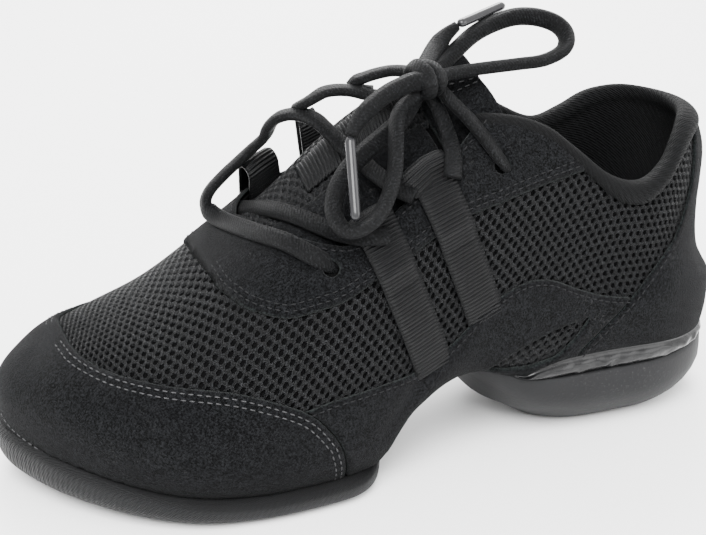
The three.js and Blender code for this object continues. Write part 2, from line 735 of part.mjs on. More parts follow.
const lining = skin(-(innerFloor + collarPad), collarPad).intersect(liningBox).subtract(liningRegion);
const rollAbove = roll.intersect(collarCut(trimDrop - clearance));
const collar = lining.add(rollAbove).add(roll.intersect(lastForm(-innerFloor)));

// A point over the last: out is the share of the half width, from -1 at the medial side to 1
function overLast(s, out, lift) {
  const section = sectionAt(s, lift);
  const half = out > 0 ? section.lateral : section.medial;
  const z = section.widest + (section.top - section.widest) * closing(Math.abs(out), fullness);
  return [alongAt(section, z), section.centre + out * half, z];
}
// The tongue, from under the vamp to its free top; sunk is how far its middle lies inside the last
const tongueRows = [
  { along: 0.0, sunk: 3.4, tuck: 0, width: 0.55 },
  { along: 0.12, sunk: 3.2, tuck: 0, width: 0.8 },
  { along: 0.25, sunk: 2.6, tuck: 0, width: 0.97 },
  { along: 0.4, sunk: 2.2, tuck: 0, width: 1 },
  { along: 0.6, sunk: 2.2, tuck: 0.3, width: 0.93 },
  { along: 0.78, sunk: 2.2, tuck: 1, width: 0.79 },
  { along: 1.0, sunk: 2.4, tuck: 1, width: 0.68 },
];
const tongueSunk = through(tongueRows, "sunk", "along");
const tongueTuck = through(tongueRows, "tuck", "along");
const tongueSpan = through(tongueRows, "width", "along");
const tongueFront = 0.705;
const tongueTop = 0.378;
// The tongue's edges pass under the webbing loops and, further back, under the collar
const underLoops = wall + webbing + 2 * webbingGap + 5 * clearance;
const underCollar = innerFloor + collarPad + 3 * clearance;
const tongueColumns = 10;
function tonguePoint(share, q, inside) {
  const s = tongueFront + (tongueTop - 0.05 * q * q - tongueFront) * share;
  const edgeSunk = underLoops + (underCollar - underLoops) * tongueTuck(share);
  const sink = tongueSunk(share) + (edgeSunk - tongueSunk(share)) * Math.min(1, Math.abs(q) / 0.36) ** 1.6;
  const section = sectionAt(s, -(sink + inside));
  const half = q > 0 ? section.lateral : section.medial;
  const reach = (Math.abs(q) * tongueSpan(share) * tongueWidth) / 2;
  return overLast(s, Math.min(0.985, reach / half) * Math.sign(q), -(sink + inside));
}
const tongueRings = Array.from({ length: 12 }, (_, i) => {
  const share = i / 11;
  const qs = Array.from({ length: tongueColumns + 1 }, (_, j) => -1 + (2 * j) / tongueColumns);
  return [
    ...qs.map((q) => tonguePoint(share, q, 0)),
    ...[...qs].reverse().map((q) => tonguePoint(share, q, tongueThickness)),
  ];
});
const tongue = loft(tongueRings);
// The ribbed webbing strip down the middle of the tongue
const keeperRings = Array.from({ length: 7 }, (_, i) => {
  const share = 0.3 + (0.4 * i) / 6;
  const q = keeperWidth / tongueWidth;
  const rise = 3.6 * clearance;
  return [
    ...[-q, 0, q].map((value) => tonguePoint(share, value, -rise - keeperThickness)),
    ...[q, 0, -q].map((value) => tonguePoint(share, value, -rise)),
  ];
});
const tongueKeeper = loft(keeperRings);

// Webbing loops: up the quarter from the side panel, over the eyestay and round a lace at the throat
const loopRows = [
  { name: "front", low: { at: 0.481, up: 0.33 }, top: 0.549 },
  { name: "rear", low: { at: 0.404, up: 0.435 }, top: 0.47 },
];
const medialShift = 0.045; // the inner loops stand further forward
const outerLeg = webbingGap + suede + 2 * clearance + webbing / 2;
const innerLeg = -(wall + webbingGap + webbing / 2);
const foldRadius = (outerLeg - innerLeg) / 2;
const foldCentre = (outerLeg + innerLeg) / 2;
const backToFront = [...throatRows].reverse();
const throatShare = { lateral: through(backToFront, "lateral"), medial: through(backToFront, "medial") };
function throatEdge(s, side) {
  const name = nameOf(side);
  return overLast(s, (side * throatShare[name](s) * throatWidth) / sectionAt(s)[name], 0)[2];
}
function webbingLoop(row, side) {
  const shift = side > 0 ? 0 : medialShift;
  const low = [row.low.at + shift, up(row.low.up)];
  const topAt = row.top + shift;
  const edge = throatEdge(topAt, side);
  const eyestayLow = through([...eyestayRows].reverse(), "up", "at");
  const slope = (edge - low[1]) / ((topAt - low[0]) * shoeLength);
  const tilt = Math.atan2(1, slope);
  const path = [];
  const legSteps = 9;
  for (let i = 0; i < legSteps; i += 1) {
    const t = i / legSteps;
    const s = low[0] + (topAt - low[0]) * t;
    const z = low[1] + (edge - low[1]) * t;
    path.push({ s, z });
  }
  const spread = webbingWidth / 2;
  // The two edges of the webbing at one place, at a height off the last
  const edgePair = (s, z, growAt) =>
    [1, -1].map((end) => {
      const sEnd = s + (end * spread * Math.cos(tilt)) / shoeLength;
      const zEnd = z - end * spread * Math.sin(tilt);
      return onLast(sEnd, zEnd, side, growAt(sEnd, zEnd));
    });
  const overSuede = (s, z) => Math.min(1, Math.max(0, (z - (up(eyestayLow(s)) - 9)) / 7));
  const seat = (s, z) => webbingGap + overSuede(s, z) * (suede + clearance * 2);
  // The throat's edge isn't level, so each edge of the fold finds its own height
  const throatPair = (rise, grow) =>
    [1, -1].map((end) => {
      const sEnd = topAt + (end * spread * Math.cos(tilt)) / shoeLength;
      return onLast(sEnd, throatEdge(sEnd, side) + rise, side, grow);
    });
  const ring = (pairOut, pairIn) => [pairOut[0], pairOut[1], pairIn[1], pairIn[0]];
  const outer = (s, z) => seat(s, z) + webbing;
  const rings = path.map(({ s, z }) => ring(edgePair(s, z, outer), edgePair(s, z, seat)));
  // The fold stands past the throat's edge in the plane of the surface
  const ends = throatPair(0, foldCentre);
  const ahead = throatPair(2, foldCentre);
  const out = throatPair(0, foldCentre + 1);
  const unit = (a, b) => new THREE.Vector3(a[0] - b[0], a[1] - b[1], a[2] - b[2]).normalize();
  const foldAt = (angle, radius, reach) =>
    ends.map((end, i) => {
      const tangent = unit(ahead[i], end);
      const normal = tangent.clone().cross(unit(ends[0], ends[1])).normalize();
      if (normal.dot(unit(out[i], end)) < 0) normal.negate();
      // A skin grown sideways and upwards is thicker where it slopes
      const slant = Math.abs(normal.y) + Math.abs(normal.z);
      const point = new THREE.Vector3(...end)
        .addScaledVector(normal, radius * slant * Math.cos(angle))
        .addScaledVector(tangent, reach + radius * Math.sin(angle));
      return [point.x, point.y, point.z];
    });
  const half = webbing / 2;
  rings.push(ring(throatPair(0, outerLeg + half), throatPair(0, outerLeg - half)));
  const foldSteps = 6;
  for (let i = 0; i <= foldSteps; i += 1) {
    const angle = (i / foldSteps) * Math.PI;
    rings.push(ring(foldAt(angle, foldRadius + half, loopReach), foldAt(angle, foldRadius - half, loopReach)));
  }
  [0, -loopTail / 2, -loopTail].forEach((rise) => {
    rings.push(ring(throatPair(rise, innerLeg - half), throatPair(rise, innerLeg + half)));
  });
  return loft(rings);
}
const webbingLoops = loopRows.flatMap((row) =>
  [1, -1].map((side) => ({
    name: `webbing_loop_${nameOf(side)}_${row.name}`,
    solid: webbingLoop(row, side),
  })),
);

// The lace's bars across the tongue, joined where they cross
function tube(points, diameter, steps, sides = 8) {
  const section = new THREE.Shape();
  for (let i = 0; i < sides; i += 1) {
    const angle = ((i + 0.5) / sides) * Math.PI * 2;
    const [x, y] = [(diameter / 2) * Math.cos(angle), (diameter / 2) * Math.sin(angle)];
    if (i === 0) section.moveTo(x, y);
    else section.lineTo(x, y);
  }
  section.closePath();
  const path = new THREE.CatmullRomCurve3(points.map((point) => new THREE.Vector3(...point)));
  return solidOf(new THREE.ExtrudeGeometry(section, { steps, bevelEnabled: false, extrudePath: path }));
}
const barLift = 1.6; // bars lie this far over the last, between the eyestay's edges
const overEyestay = 2 * clearance + suede + barDiameter;
const eyeletRise = (index) => {
  const { at, normal } = eyelets[index];
  return at.map((value, axis) => value + normal.getComponent(axis) * overEyestay);
};
// Where a bar turns back beside a webbing loop
const turnShare = { lateral: 0.44, medial: 0.24 };
const turnAt = (row, side) => {
  const s = row.top + (side > 0 ? 0 : medialShift);
  return [0.02, -0.02].map((step) => overLast(s + step, side * turnShare[nameOf(side)], barLift));
};
// A lace's way from a bottom eyelet to the top eyelet of the other side
function barPath(side) {
  const [first, last] = side > 0 ? [0, 3] : [2, 1];
  return [
    eyeletRise(first),
    overLast(eyeletRows[first].at + 0.016, side * 0.3, overEyestay),
    ...turnAt(loopRows[0], -side),
    overLast((loopRows[0].top + loopRows[1].top + medialShift) / 2, 0, barLift + 0.5),
    ...turnAt(loopRows[1], side),
    overLast(0.435, -side * 0.12, barLift),
    overLast(0.43, -side * 0.45, overEyestay),
    onLast(0.42, up(0.87), -side, overEyestay + 0.4),
    eyeletRise(last),
  ];
}
const laceBars = tube(barPath(1), barDiameter, 31, 6).add(tube(barPath(-1), barDiameter, 31, 6));

// The bow, chosen by hand as it lies, in millimetres
const bow = {
  lace_loop_front: [
    [81.8, 17.4, 127], [87, 17.3, 124.8], [94, 18.5, 121.5], [102, 22, 116.5], [110, 28, 107.5],
    [116.5, 34.5, 96.5],
    [115.5, 40, 90], [107, 42, 88], [98, 40, 91.5], [91.5, 36, 100], [88, 30, 111], [83.5, 23.5, 119.5],
    [78.5, 20.2, 125.3],
  ],
  lace_loop_rear: [
    [66.6, 19, 128.9], [60, 16.3, 129.9], [51, 13.8, 131.2], [40, 11, 131.5], [27, 8, 131.8],
    [20, 5, 135], [20.5, 0.5, 140],
    [28, -2, 143.2], [41, 0, 142.8], [52, 4, 139.6], [61, 8.5, 135.9], [69.3, 14.2, 132.3],
  ],
  lace_end_rear: [[73, 15.1, 135.2], [69, 10.5, 137.3], [65, 6.3, 139.9], [62, 4, 143], [60.6, 3.4, 144.6]],
  lace_end_front: [
    [82.6, 20.3, 134], [88, 21.6, 131.8], [95, 24, 127.5], [101, 27, 122.5], [104, 29, 117.5],
    [104.5, 29.8, 115.8],
  ],
};
const agletRows = {
  aglet_rear: [[60, 3.1, 145.2], [39, -8, 148.2]],
  aglet_front: [[104.7, 30.1, 115.2], [107, 41.5, 95]],
};
const knotSolid = solidOf(
  new THREE.SphereGeometry(1, 12, 8)
    .scale(knot.halfLength, knot.halfWidth, knot.halfHeight)
    .translate(...knot.centre),
);

// Materials
const finish = {
  suede: { color: 0x1b1c1e, roughness: 0.95 },
  mesh: { color: 0x232427, roughness: 0.85 },
  knit: { color: 0x222326, roughness: 0.9 },
  webbing: { color: 0x2a2b2e, roughness: 0.7 },
  lace: { color: 0x2b2c2f, roughness: 0.85 },
  rubber: { color: 0x2a2b2d, roughness: 0.8 },
  gloss: { color: 0x101113, roughness: 0.15 },
  insole: { color: 0x1f2023, roughness: 0.95 },
};
const material = Object.fromEntries(
  Object.entries(finish).map(([name, values]) => [name, new THREE.MeshStandardMaterial(values)]),
);

const shoe = new THREE.Group();
function addPiece(name, solid, look) {
  const mesh = solid.getMesh();
  const count = mesh.numProp;
  const positions = new Float32Array(mesh.numVert * 3);
  for (let i = 0; i < mesh.numVert; i += 1) {
    positions.set(mesh.vertProperties.subarray(i * count, i * count + 3), i * 3);
  }
  const geometry = new THREE.BufferGeometry();
  geometry.setAttribute("position", new THREE.BufferAttribute(positions, 3));
  geometry.setIndex(new THREE.BufferAttribute(new Uint32Array(mesh.triVerts), 1));
  geometry.computeVertexNormals();
  const piece = new THREE.Mesh(geometry, look);
  piece.name = name;
  shoe.add(piece);
}
addPiece("forefoot_sole", forefootSole, material.rubber);
addPiece("heel_sole", heelSole, material.rubber);
addPiece("heel_rand", heelRand, material.gloss);
addPiece("insole", insole, material.insole);
addPiece("upper", upper, material.mesh);
addPiece("toe_guard", toeGuard, material.suede);
addPiece("heel_counter", heelCounter, material.suede);
addPiece("side_panel_lateral", panels.intersect(sideHalf(1)), material.suede);
addPiece("side_panel_medial", panels.intersect(sideHalf(-1)), material.suede);
addPiece("eyestay", eyestay, material.suede);
addPiece("collar", collar, material.knit);
addPiece("tongue", tongue, material.suede);
addPiece("tongue_keeper", tongueKeeper, material.webbing);
const panelAbove = panelPrism(clearance);
webbingLoops.forEach(({ name, solid }) => addPiece(name, solid.subtract(panelAbove), material.webbing));
addPiece("lace_bars", laceBars, material.lace);
addPiece("lace_knot", knotSolid, material.lace);
Object.entries(bow).forEach(([name, points]) => {
  addPiece(name, tube(points, laceDiameter, Math.round(1.7 * points.length)), material.lace);
});
Object.entries(agletRows).forEach(([name, points]) => {
  addPiece(name, tube(points, agletDiameter, 1), material.gloss);
});
export default shoe;
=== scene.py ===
"""A left dance sneaker: mesh upper, suede overlays, knit collar, webbing loops, tied flat lace, split sole."""
import math

import bmesh
import bpy
import numpy as np
from bpy.props import FloatProperty, FloatVectorProperty, PointerProperty
from mathutils import Matrix, Vector
from mathutils.geometry import delaunay_2d_cdt


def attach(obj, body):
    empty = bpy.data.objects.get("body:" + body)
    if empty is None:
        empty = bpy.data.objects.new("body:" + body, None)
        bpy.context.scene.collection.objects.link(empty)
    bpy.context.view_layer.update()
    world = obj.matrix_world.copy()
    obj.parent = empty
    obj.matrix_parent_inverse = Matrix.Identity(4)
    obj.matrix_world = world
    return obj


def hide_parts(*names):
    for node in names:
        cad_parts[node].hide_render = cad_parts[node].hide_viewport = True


bl_info = {
    "name": "Dance Sneaker",
    "version": (1, 0, 0),
    "blender": (4, 5, 0),
    "location": "View3D > Sidebar > Sneaker",
    "description": "Builds a laced dance sneaker with a split sole over its packed frame",
    "category": "Object",
}

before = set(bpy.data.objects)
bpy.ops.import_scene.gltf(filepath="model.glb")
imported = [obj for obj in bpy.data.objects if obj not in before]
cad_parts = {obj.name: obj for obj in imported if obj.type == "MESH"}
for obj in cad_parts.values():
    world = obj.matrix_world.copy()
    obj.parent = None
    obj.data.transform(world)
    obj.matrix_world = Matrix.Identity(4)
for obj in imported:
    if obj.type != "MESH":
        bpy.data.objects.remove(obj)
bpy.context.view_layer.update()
MM = 0.001

# Sizes of the last, in millimetres
SHOE_LENGTH = 258.0
BALL_WIDTH = 98.0
INSTEP_HEIGHT = 128.0
HEEL_LIFT = 24.5
FORE_LIFT = 7.5
ARCH_LIFT = 15.3
TOE_SPRING = 14.0
HEEL_TREAD = 40.5
HEEL_TUCK = 1.5
TOE_TUCK = 12.0
FULLNESS = 2.25
FEATHER = 0.86
HEEL_ROUND = 0.15
TOE_ROUND = 0.24
TOE_POWER = 2.15
COLLAR_HEIGHT = 113.0
COLLAR_END = 0.4
THROAT_WIDTH = 62.0
SUEDE_BASE = 0.3
SUEDE = 1.2
SUEDE_ROUND = 1.1

# Columns: share of the length, lateral, medial and ridge as shares of the ball's width
PLAN = np.array([
    [0, 0.33, 0.32, 0], [0.05, 0.335, 0.32, 0], [0.13, 0.345, 0.33, 0], [0.23, 0.35, 0.33, 0],
    [0.33, 0.36, 0.325, -0.01], [0.42, 0.385, 0.315, -0.02], [0.5, 0.425, 0.35, -0.03],
    [0.555, 0.46, 0.395, -0.035], [0.62, 0.495, 0.44, -0.05], [0.71, 0.51, 0.47, -0.07],
    [0.8, 0.485, 0.485, -0.08], [0.88, 0.43, 0.475, -0.09], [0.95, 0.36, 0.45, -0.1], [1, 0.3, 0.43, -0.1],
])
# Columns: share of the length, heel, arch, spring, widest, top
PROFILE = np.array([
    [0, 1, 0, 0, 0.32, 1.2], [0.05, 1, 0, 0, 0.32, 1.2], [0.13, 1, 0, 0, 0.32, 1.2],
    [0.23, 1, 0, 0, 0.32, 1.2], [0.33, 0.9, 0.2, 0, 0.34, 1.12], [0.42, 0.6, 1, 0, 0.35, 1],
    [0.5, 0.3, 0.915, 0, 0.27, 0.91], [0.555, 0.05, 0.1, 0, 0.215, 0.845], [0.62, 0, 0, 0, 0.17, 0.75],
    [0.71, 0, 0, 0, 0.16, 0.61], [0.8, 0, 0, 0.14, 0.17, 0.48], [0.88, 0, 0, 0.42, 0.2, 0.42],
    [0.95, 0, 0, 0.76, 0.235, 0.382], [1, 0, 0, 1, 0.25, 0.345],
])
HEEL_BACK = np.array([
    [0.36, 0], [0.405, 3.2], [0.453, 6.6], [0.515, 8.2], [0.6, 8.4], [0.664, 7.6], [0.742, 7.2],
    [0.82, 9.8], [0.883, 14.5], [0.953, 19],
])
COLLAR = np.array([
    [0, 0.982, 0.982], [0.05, 0.97, 0.985], [0.085, 0.927, 0.975], [0.12, 0.855, 0.955],
    [0.16, 0.81, 0.915], [0.21, 0.84, 0.885], [0.263, 0.935, 0.935], [0.3, 1, 0.99],
    [0.35, 1.04, 1.04], [0.41, 1.05, 1.05],
])
THROAT = np.array([
    [0.684, 0, 0], [0.67, 0.24, 0.14], [0.636, 0.475, 0.29], [0.585, 0.59, 0.37],
    [0.511, 0.535, 0.39], [0.45, 0.47, 0.39], [0.38, 0.37, 0.36],
])
BAND = np.array([[0, 0.215], [0.06, 0.225], [0.145, 0.242], [0.27, 0.242], [0.315, 0.224], [0.345, 0.2]])
# Edges of the suede pieces in side view: share of the length, share of the instep's height
GUARD_EDGE = np.array([
    [0.604, -0.05], [0.612, 0.12], [0.632, 0.21], [0.67, 0.285], [0.746, 0.345], [0.83, 0.358],
    [0.89, 0.372], [0.918, 0.395], [0.93, 0.48],
])
COUNTER_EDGE = np.array([
    [0.29, 0.1], [0.26, 0.245], [0.225, 0.315], [0.18, 0.4], [0.135, 0.49], [0.105, 0.55],
    [0.082, 0.64], [0.072, 0.76], [0.066, 1.0],
])
PANEL_EDGE = np.array([
    [0.7, 0.27], [0.62, 0.296], [0.56, 0.304], [0.5, 0.316], [0.455, 0.362], [0.405, 0.438],
    [0.355, 0.485], [0.31, 0.485], [0.26, 0.44], [0.21, 0.405], [0.14, 0.39],
])
WINDOW = np.array([
    [0.392, 0.258], [0.37, 0.286], [0.34, 0.31], [0.3, 0.334], [0.246, 0.356], [0.256, 0.326], [0.272, 0.292],
    [0.294, 0.256], [0.33, 0.243], [0.365, 0.246],
])
EYESTAY_EDGE = np.array([
    [0.745, 0.75], [0.742, 0.56], [0.728, 0.525], [0.705, 0.508], [0.674, 0.498], [0.641, 0.509],
    [0.6, 0.528], [0.56, 0.565], [0.51, 0.61], [0.47, 0.65], [0.428, 0.685], [0.375, 0.71],
    [0.32, 0.737], [0.25, 0.765], [0.21, 0.775],
])
EYELETS = [(1, 0.612, 0.6), (1, 0.375, 0.8), (-1, 0.645, 0.61), (-1, 0.375, 0.8)]


def through(x, y):
    """A smooth curve through points, flat at both ends."""
    slope = np.zeros(len(x))
    slope[1:-1] = (y[2:] - y[:-2]) / (x[2:] - x[:-2])

    def curve(at):
        t = np.clip(np.asarray(at, float), x[0], x[-1])
        i = np.clip(np.searchsorted(x, t, side="right") - 1, 0, len(x) - 2)
        step = x[i + 1] - x[i]
        u = (t - x[i]) / step
        value = (2 * u**3 - 3 * u**2 + 1) * y[i] + (3 * u**2 - 2 * u**3) * y[i + 1]
        return value + ((u**3 - 2 * u**2 + u) * slope[i] + (u**3 - u**2) * slope[i + 1]) * step

    return curve


lateral_share, medial_share, ridge_share = (through(PLAN[:, 0], PLAN[:, i]) for i in (1, 2, 3))
heel_share, arch_share, spring_share, widest_share, top_share = (
    through(PROFILE[:, 0], PROFILE[:, i]) for i in (1, 2, 3, 4, 5)
)
heel_lean = through(HEEL_BACK[:, 0], HEEL_BACK[:, 1])
collar_lateral, collar_medial = (through(COLLAR[:, 0], COLLAR[:, i]) for i in (1, 2))
band_share = through(BAND[:, 0], BAND[:, 1])
throat_lateral, throat_medial = (through(THROAT[::-1, 0], THROAT[::-1, i]) for i in (1, 2))


def closing(share, power):
    """How far a rounded outline still stands out; it closes at a share of 1."""
    return np.maximum(0, 1 - np.abs(share) ** power) ** (1 / power)


def plan_round(s):
    """How the plan's width closes at the heel and at the toe."""
    heel = closing(np.maximum(0, 1 - s / HEEL_ROUND), 2)
    toe = closing(np.maximum(0, (s - 1 + TOE_ROUND) / TOE_ROUND), TOE_POWER)
    return np.minimum(heel, toe)


def toe_rise(s):
    """The toe spring at a share of the length."""
    return TOE_SPRING * np.maximum(0, spring_share(s))


def underside(s):
    """The height of the upper's lower edge."""
    heel = (HEEL_LIFT - FORE_LIFT) * np.maximum(0, heel_share(s))
    return FORE_LIFT + heel + ARCH_LIFT * np.maximum(0, arch_share(s)) + toe_rise(s)


def collar_at(s, side):
    """The height of the collar's top."""
    return COLLAR_HEIGHT * np.where(np.asarray(side) > 0, collar_lateral(s), collar_medial(s))


def section(s, grow):
    """The measures of the last's section at a share of the length, grown outwards."""
    bottom = underside(s)
    ridge = ridge_share(s)
    round_ = plan_round(s)
    return {
        "centre": ridge * BALL_WIDTH,
        "lateral": ((lateral_share(s) - ridge) * BALL_WIDTH + grow) * round_,
        "medial": ((medial_share(s) + ridge) * BALL_WIDTH + grow) * round_,
        "bottom": bottom - grow,
        "widest": np.maximum(widest_share(s) * INSTEP_HEIGHT, bottom + 6),
        "top": top_share(s) * INSTEP_HEIGHT + grow,
    }


def along_at(s, z, grow, cut):
    """The place along the shoe, which leans with the heel's back and the toe."""
    heel_end = np.maximum(0, 1 - s / HEEL_ROUND) ** 2
    toe_end = np.maximum(0, 1 - (1 - s) / TOE_ROUND) ** 2
    span = s * SHOE_LENGTH - HEEL_TREAD + grow * (toe_end - heel_end)
    heel_part = np.maximum(0, 1 - s / 0.4) ** 2
    toe_part = np.maximum(0, (s - 0.8) / 0.2) ** 2
    below = np.maximum(0, (cut["widest"] - z) / (cut["widest"] - cut["bottom"]))
    rise = np.clip((z - cut["widest"]) / (cut["top"] - cut["widest"]), 0, 1.2)
    heel = heel_lean(z / INSTEP_HEIGHT) + HEEL_TUCK * below**2
    return span + heel_part * heel - toe_part * TOE_TUCK * rise**2


def surface(s, v, grow):
    """Points on the last. v is 0 on the ridge, 1 at the widest line and 2 at the feather edge, negative inside."""
    s, v, grow = np.broadcast_arrays(np.asarray(s, float), np.asarray(v, float), np.asarray(grow, float))
    cut = section(s, grow)
    a = np.abs(v)
    phi = (1 - np.clip(a, 0, 1)) * math.pi / 2
    beta = (2 - np.clip(a, 1, 2)) * math.pi / 2
    high = cut["widest"] + (cut["top"] - cut["widest"]) * np.sin(phi) ** (2 / FULLNESS)
    low = cut["widest"] - (cut["widest"] - cut["bottom"]) * np.cos(beta)
    out_high = np.cos(phi) ** (2 / FULLNESS)
    out_low = (FEATHER + (1 - FEATHER) * np.sin(beta)) * np.clip(3 - a, 0, 1)
    out = np.where(a <= 1, out_high, out_low)
    z = np.where(a <= 1, high, low)
    half = np.where(v >= 0, cut["lateral"], cut["medial"])
    y = cut["centre"] + np.sign(v) * half * out
    return np.stack([along_at(s, z, grow, cut), y, z], -1)


def locate(x, z, side):
    """The share along and the place round the last of a point seen from the side."""
    x, z = np.broadcast_arrays(np.asarray(x, float), np.asarray(z, float))
    low, high = np.zeros(x.shape), np.ones(x.shape)
    for _ in range(34):
        s = (low + high) / 2
        behind = along_at(s, z, 0.0, section(s, 0.0)) < x
        low, high = np.where(behind, s, low), np.where(behind, high, s)
    cut = section(s, 0.0)
    rise = np.clip((z - cut["widest"]) / (cut["top"] - cut["widest"]), 0, 1)
    drop = np.clip((cut["widest"] - z) / (cut["widest"] - cut["bottom"]), 0, 1)
    above = 1 - np.arcsin(rise ** (FULLNESS / 2)) / (math.pi / 2)
    below = 2 - np.arccos(drop) / (math.pi / 2)
    return s, side * np.where(z > cut["widest"], above, below)


def on_last(s, z, side, grow):
    """A point at height z on the section at share s."""
    s, z, grow = np.broadcast_arrays(np.asarray(s, float), np.asarray(z, float), np.asarray(grow, float))
    cut = section(s, grow)
    rise = np.clip((z - cut["widest"]) / (cut["top"] - cut["widest"]), 0, 1)
    drop = np.clip((cut["widest"] - z) / (cut["widest"] - cut["bottom"]), 0, 1)
    out = np.where(z > cut["widest"], closing(rise, FULLNESS), FEATHER + (1 - FEATHER) * closing(drop, 2))
    half = np.where(np.asarray(side) > 0, cut["lateral"], cut["medial"])
    return np.stack([along_at(s, z, grow, cut), cut["centre"] + side * half * out, z], -1)


def over_last(s, out, lift):
    """A point over the last; out is the share of the half width, from -1 at the medial side to 1."""
    s, out, lift = np.broadcast_arrays(np.asarray(s, float), np.asarray(out, float), np.asarray(lift, float))
    cut = section(s, lift)
    z = cut["widest"] + (cut["top"] - cut["widest"]) * closing(out, FULLNESS)
    half = np.where(out > 0, cut["lateral"], cut["medial"])
    return np.stack([along_at(s, z, lift, cut), cut["centre"] + out * half, z], -1)


# The flat map of the upper, in millimetres: along the plan's outline, and round from the ridge

def plan_table():
    """Shares along the shoe, and how far round the plan's outline each one lies."""
    heel = HEEL_ROUND * (1 - np.cos(np.linspace(0, 1, 80) * math.pi / 2))
    middle = np.linspace(HEEL_ROUND, 1 - TOE_ROUND, 160)[1:]
    toe = 1 - TOE_ROUND + TOE_ROUND * np.sin(np.linspace(0, 1, 120) * math.pi / 2)[1:]
    shares = np.concatenate([heel, middle, toe])
    edge = surface(shares, np.ones(len(shares)), 0.0)
    steps = np.linalg.norm(np.diff(edge[:, :2], axis=0), axis=1)
    return shares, np.concatenate([[0], np.cumsum(steps)])


S_TABLE, Q_TABLE = plan_table()
Q_END = Q_TABLE[-1]


def q_of(s):
    """From the share of the length to the flat map."""
    return np.interp(s, S_TABLE, Q_TABLE)


def s_of(q):
    """From the flat map to the share of the length."""
    return np.interp(q, Q_TABLE, S_TABLE)


V_TABLE = np.linspace(0, 2.3, 150)
INVERSE_STEPS = 300


def round_tables(side):
    """Lengths round the last at each share, their totals, and the way back from length to place."""
    grid = surface(S_TABLE[:, None], side * V_TABLE[None], 0.0)
    steps = np.linalg.norm(np.diff(grid, axis=1), axis=2)
    arcs = np.concatenate([np.zeros((len(S_TABLE), 1)), np.cumsum(steps, 1)], 1)
    shares = np.linspace(0, 1, INVERSE_STEPS)
    inverse = np.array([np.interp(shares * row[-1], row, V_TABLE) for row in arcs])
    return arcs, arcs[:, -1], inverse


TABLES = {side: round_tables(side) for side in (1, -1)}
ARCS, TOTALS, INVERSE = ({side: TABLES[side][i] for side in TABLES} for i in range(3))


def between(table, row, column):
    """A value between the cells of a table."""
    i = np.clip(row.astype(int), 0, table.shape[0] - 2)
    j = np.clip(column.astype(int), 0, table.shape[1] - 2)
    f, g = row - i, column - j
    near = table[i, j] * (1 - g) + table[i, j + 1] * g
    return near * (1 - f) + (table[i + 1, j] * (1 - g) + table[i + 1, j + 1] * g) * f


def to_flat(s, v):
    """From the share along and the place round to the flat map."""
    s, v = np.broadcast_arrays(np.asarray(s, float), np.asarray(v, float))
    q = q_of(s)
    row = np.interp(q, Q_TABLE, np.arange(len(Q_TABLE)))
    column = np.clip(np.abs(v) / V_TABLE[-1], 0, 1) * (len(V_TABLE) - 1)
    arc = np.where(v >= 0, between(ARCS[1], row, column), between(ARCS[-1], row, column))
    return np.stack([q, np.sign(v) * arc], -1)


def from_flat(flat):
    """From the flat map to the share along and the place round."""
    row = np.interp(flat[:, 0], Q_TABLE, np.arange(len(Q_TABLE)))
    v = np.zeros(len(flat))
    for side in (1, -1):
        mine = flat[:, 1] * side >= 0
        total = np.interp(flat[mine, 0], Q_TABLE, TOTALS[side])
        column = np.clip(np.abs(flat[mine, 1]) / total, 0, 1) * (INVERSE_STEPS - 1)
        v[mine] = side * between(INVERSE[side], row[mine], column)
    return s_of(flat[:, 0]), v


# Soft troughs and ridges placed in side view: two ends, then width and depth in millimetres
CREASES = [
    ((0.545, 0.19), (0.47, 0.36), 2.6, -0.9), ((0.5, 0.22), (0.425, 0.35), 3.0, 0.5),
    ((0.3, 0.63), (0.22, 0.47), 5.0, -0.8), ((0.36, 0.56), (0.29, 0.5), 4.0, 0.5),
    ((0.1, 0.62), (0.15, 0.45), 4.0, -0.6), ((0.07, 0.42), (0.2, 0.36), 4.5, 0.9),
    ((0.62, 0.2), (0.66, 0.5), 3.6, -0.5), ((0.69, 0.2), (0.715, 0.5), 4.5, -0.45),
    ((0.63, 0.56), (0.725, 0.47), 3.0, 0.5), ((0.8, 0.2), (0.83, 0.38), 6.0, 0.35),
    ((0.87, 0.2), (0.9, 0.36), 5.0, -0.3), ((0.42, 0.62), (0.47, 0.42), 3.0, -0.4),
]


def crease_lines():
    """The creases as lines of the flat map, on both sides."""
    lines = []
    for start, end, width, depth in CREASES:
        ends = np.array([start, end]) * [SHOE_LENGTH, INSTEP_HEIGHT] - [HEEL_TREAD, 0]
        for side in (1, -1):
            s, v = locate(ends[:, 0], ends[:, 1], side)
            lines.append((*to_flat(s, v), width, depth * (1 if side > 0 else 0.7)))
    return lines


CREASE_LINES = crease_lines()


def relief(flat):
    """How far the cloth stands off the smooth last, in millimetres."""
    total = np.zeros(len(flat))
    for a, b, width, depth in CREASE_LINES:
        length = ((b - a) ** 2).sum()
        t = np.clip(((flat - a) @ (b - a)) / length, 0, 1)
        away = ((flat - a - t[:, None] * (b - a)) ** 2).sum(1)
        total += depth * np.exp(-away / (2 * width**2))
    return total


def upper_map(flat, height):
    """From the flat map to the shoe's surface, height millimetres off it."""
    s, v = from_flat(flat)
    return surface(s, v, height + relief(flat))


def smooth_line(points, step):
    """A Catmull-Rom line through points, in even steps."""
    points = np.asarray(points, float)
    ends = np.vstack([2 * points[0] - points[1], points, 2 * points[-1] - points[-2]])
    fine = []
    for i in range(1, len(ends) - 2):
        t = np.linspace(0, 1, 24, endpoint=False)[:, None]
        p0, p1, p2, p3 = ends[i - 1], ends[i], ends[i + 1], ends[i + 2]
        fine.append(0.5 * (2 * p1 + (p2 - p0) * t + (2 * p0 - 5 * p1 + 4 * p2 - p3) * t**2
                           + (3 * p1 - p0 - 3 * p2 + p3) * t**3))
    fine = np.vstack([*fine, points[-1:]])
    return even_steps(fine, step)


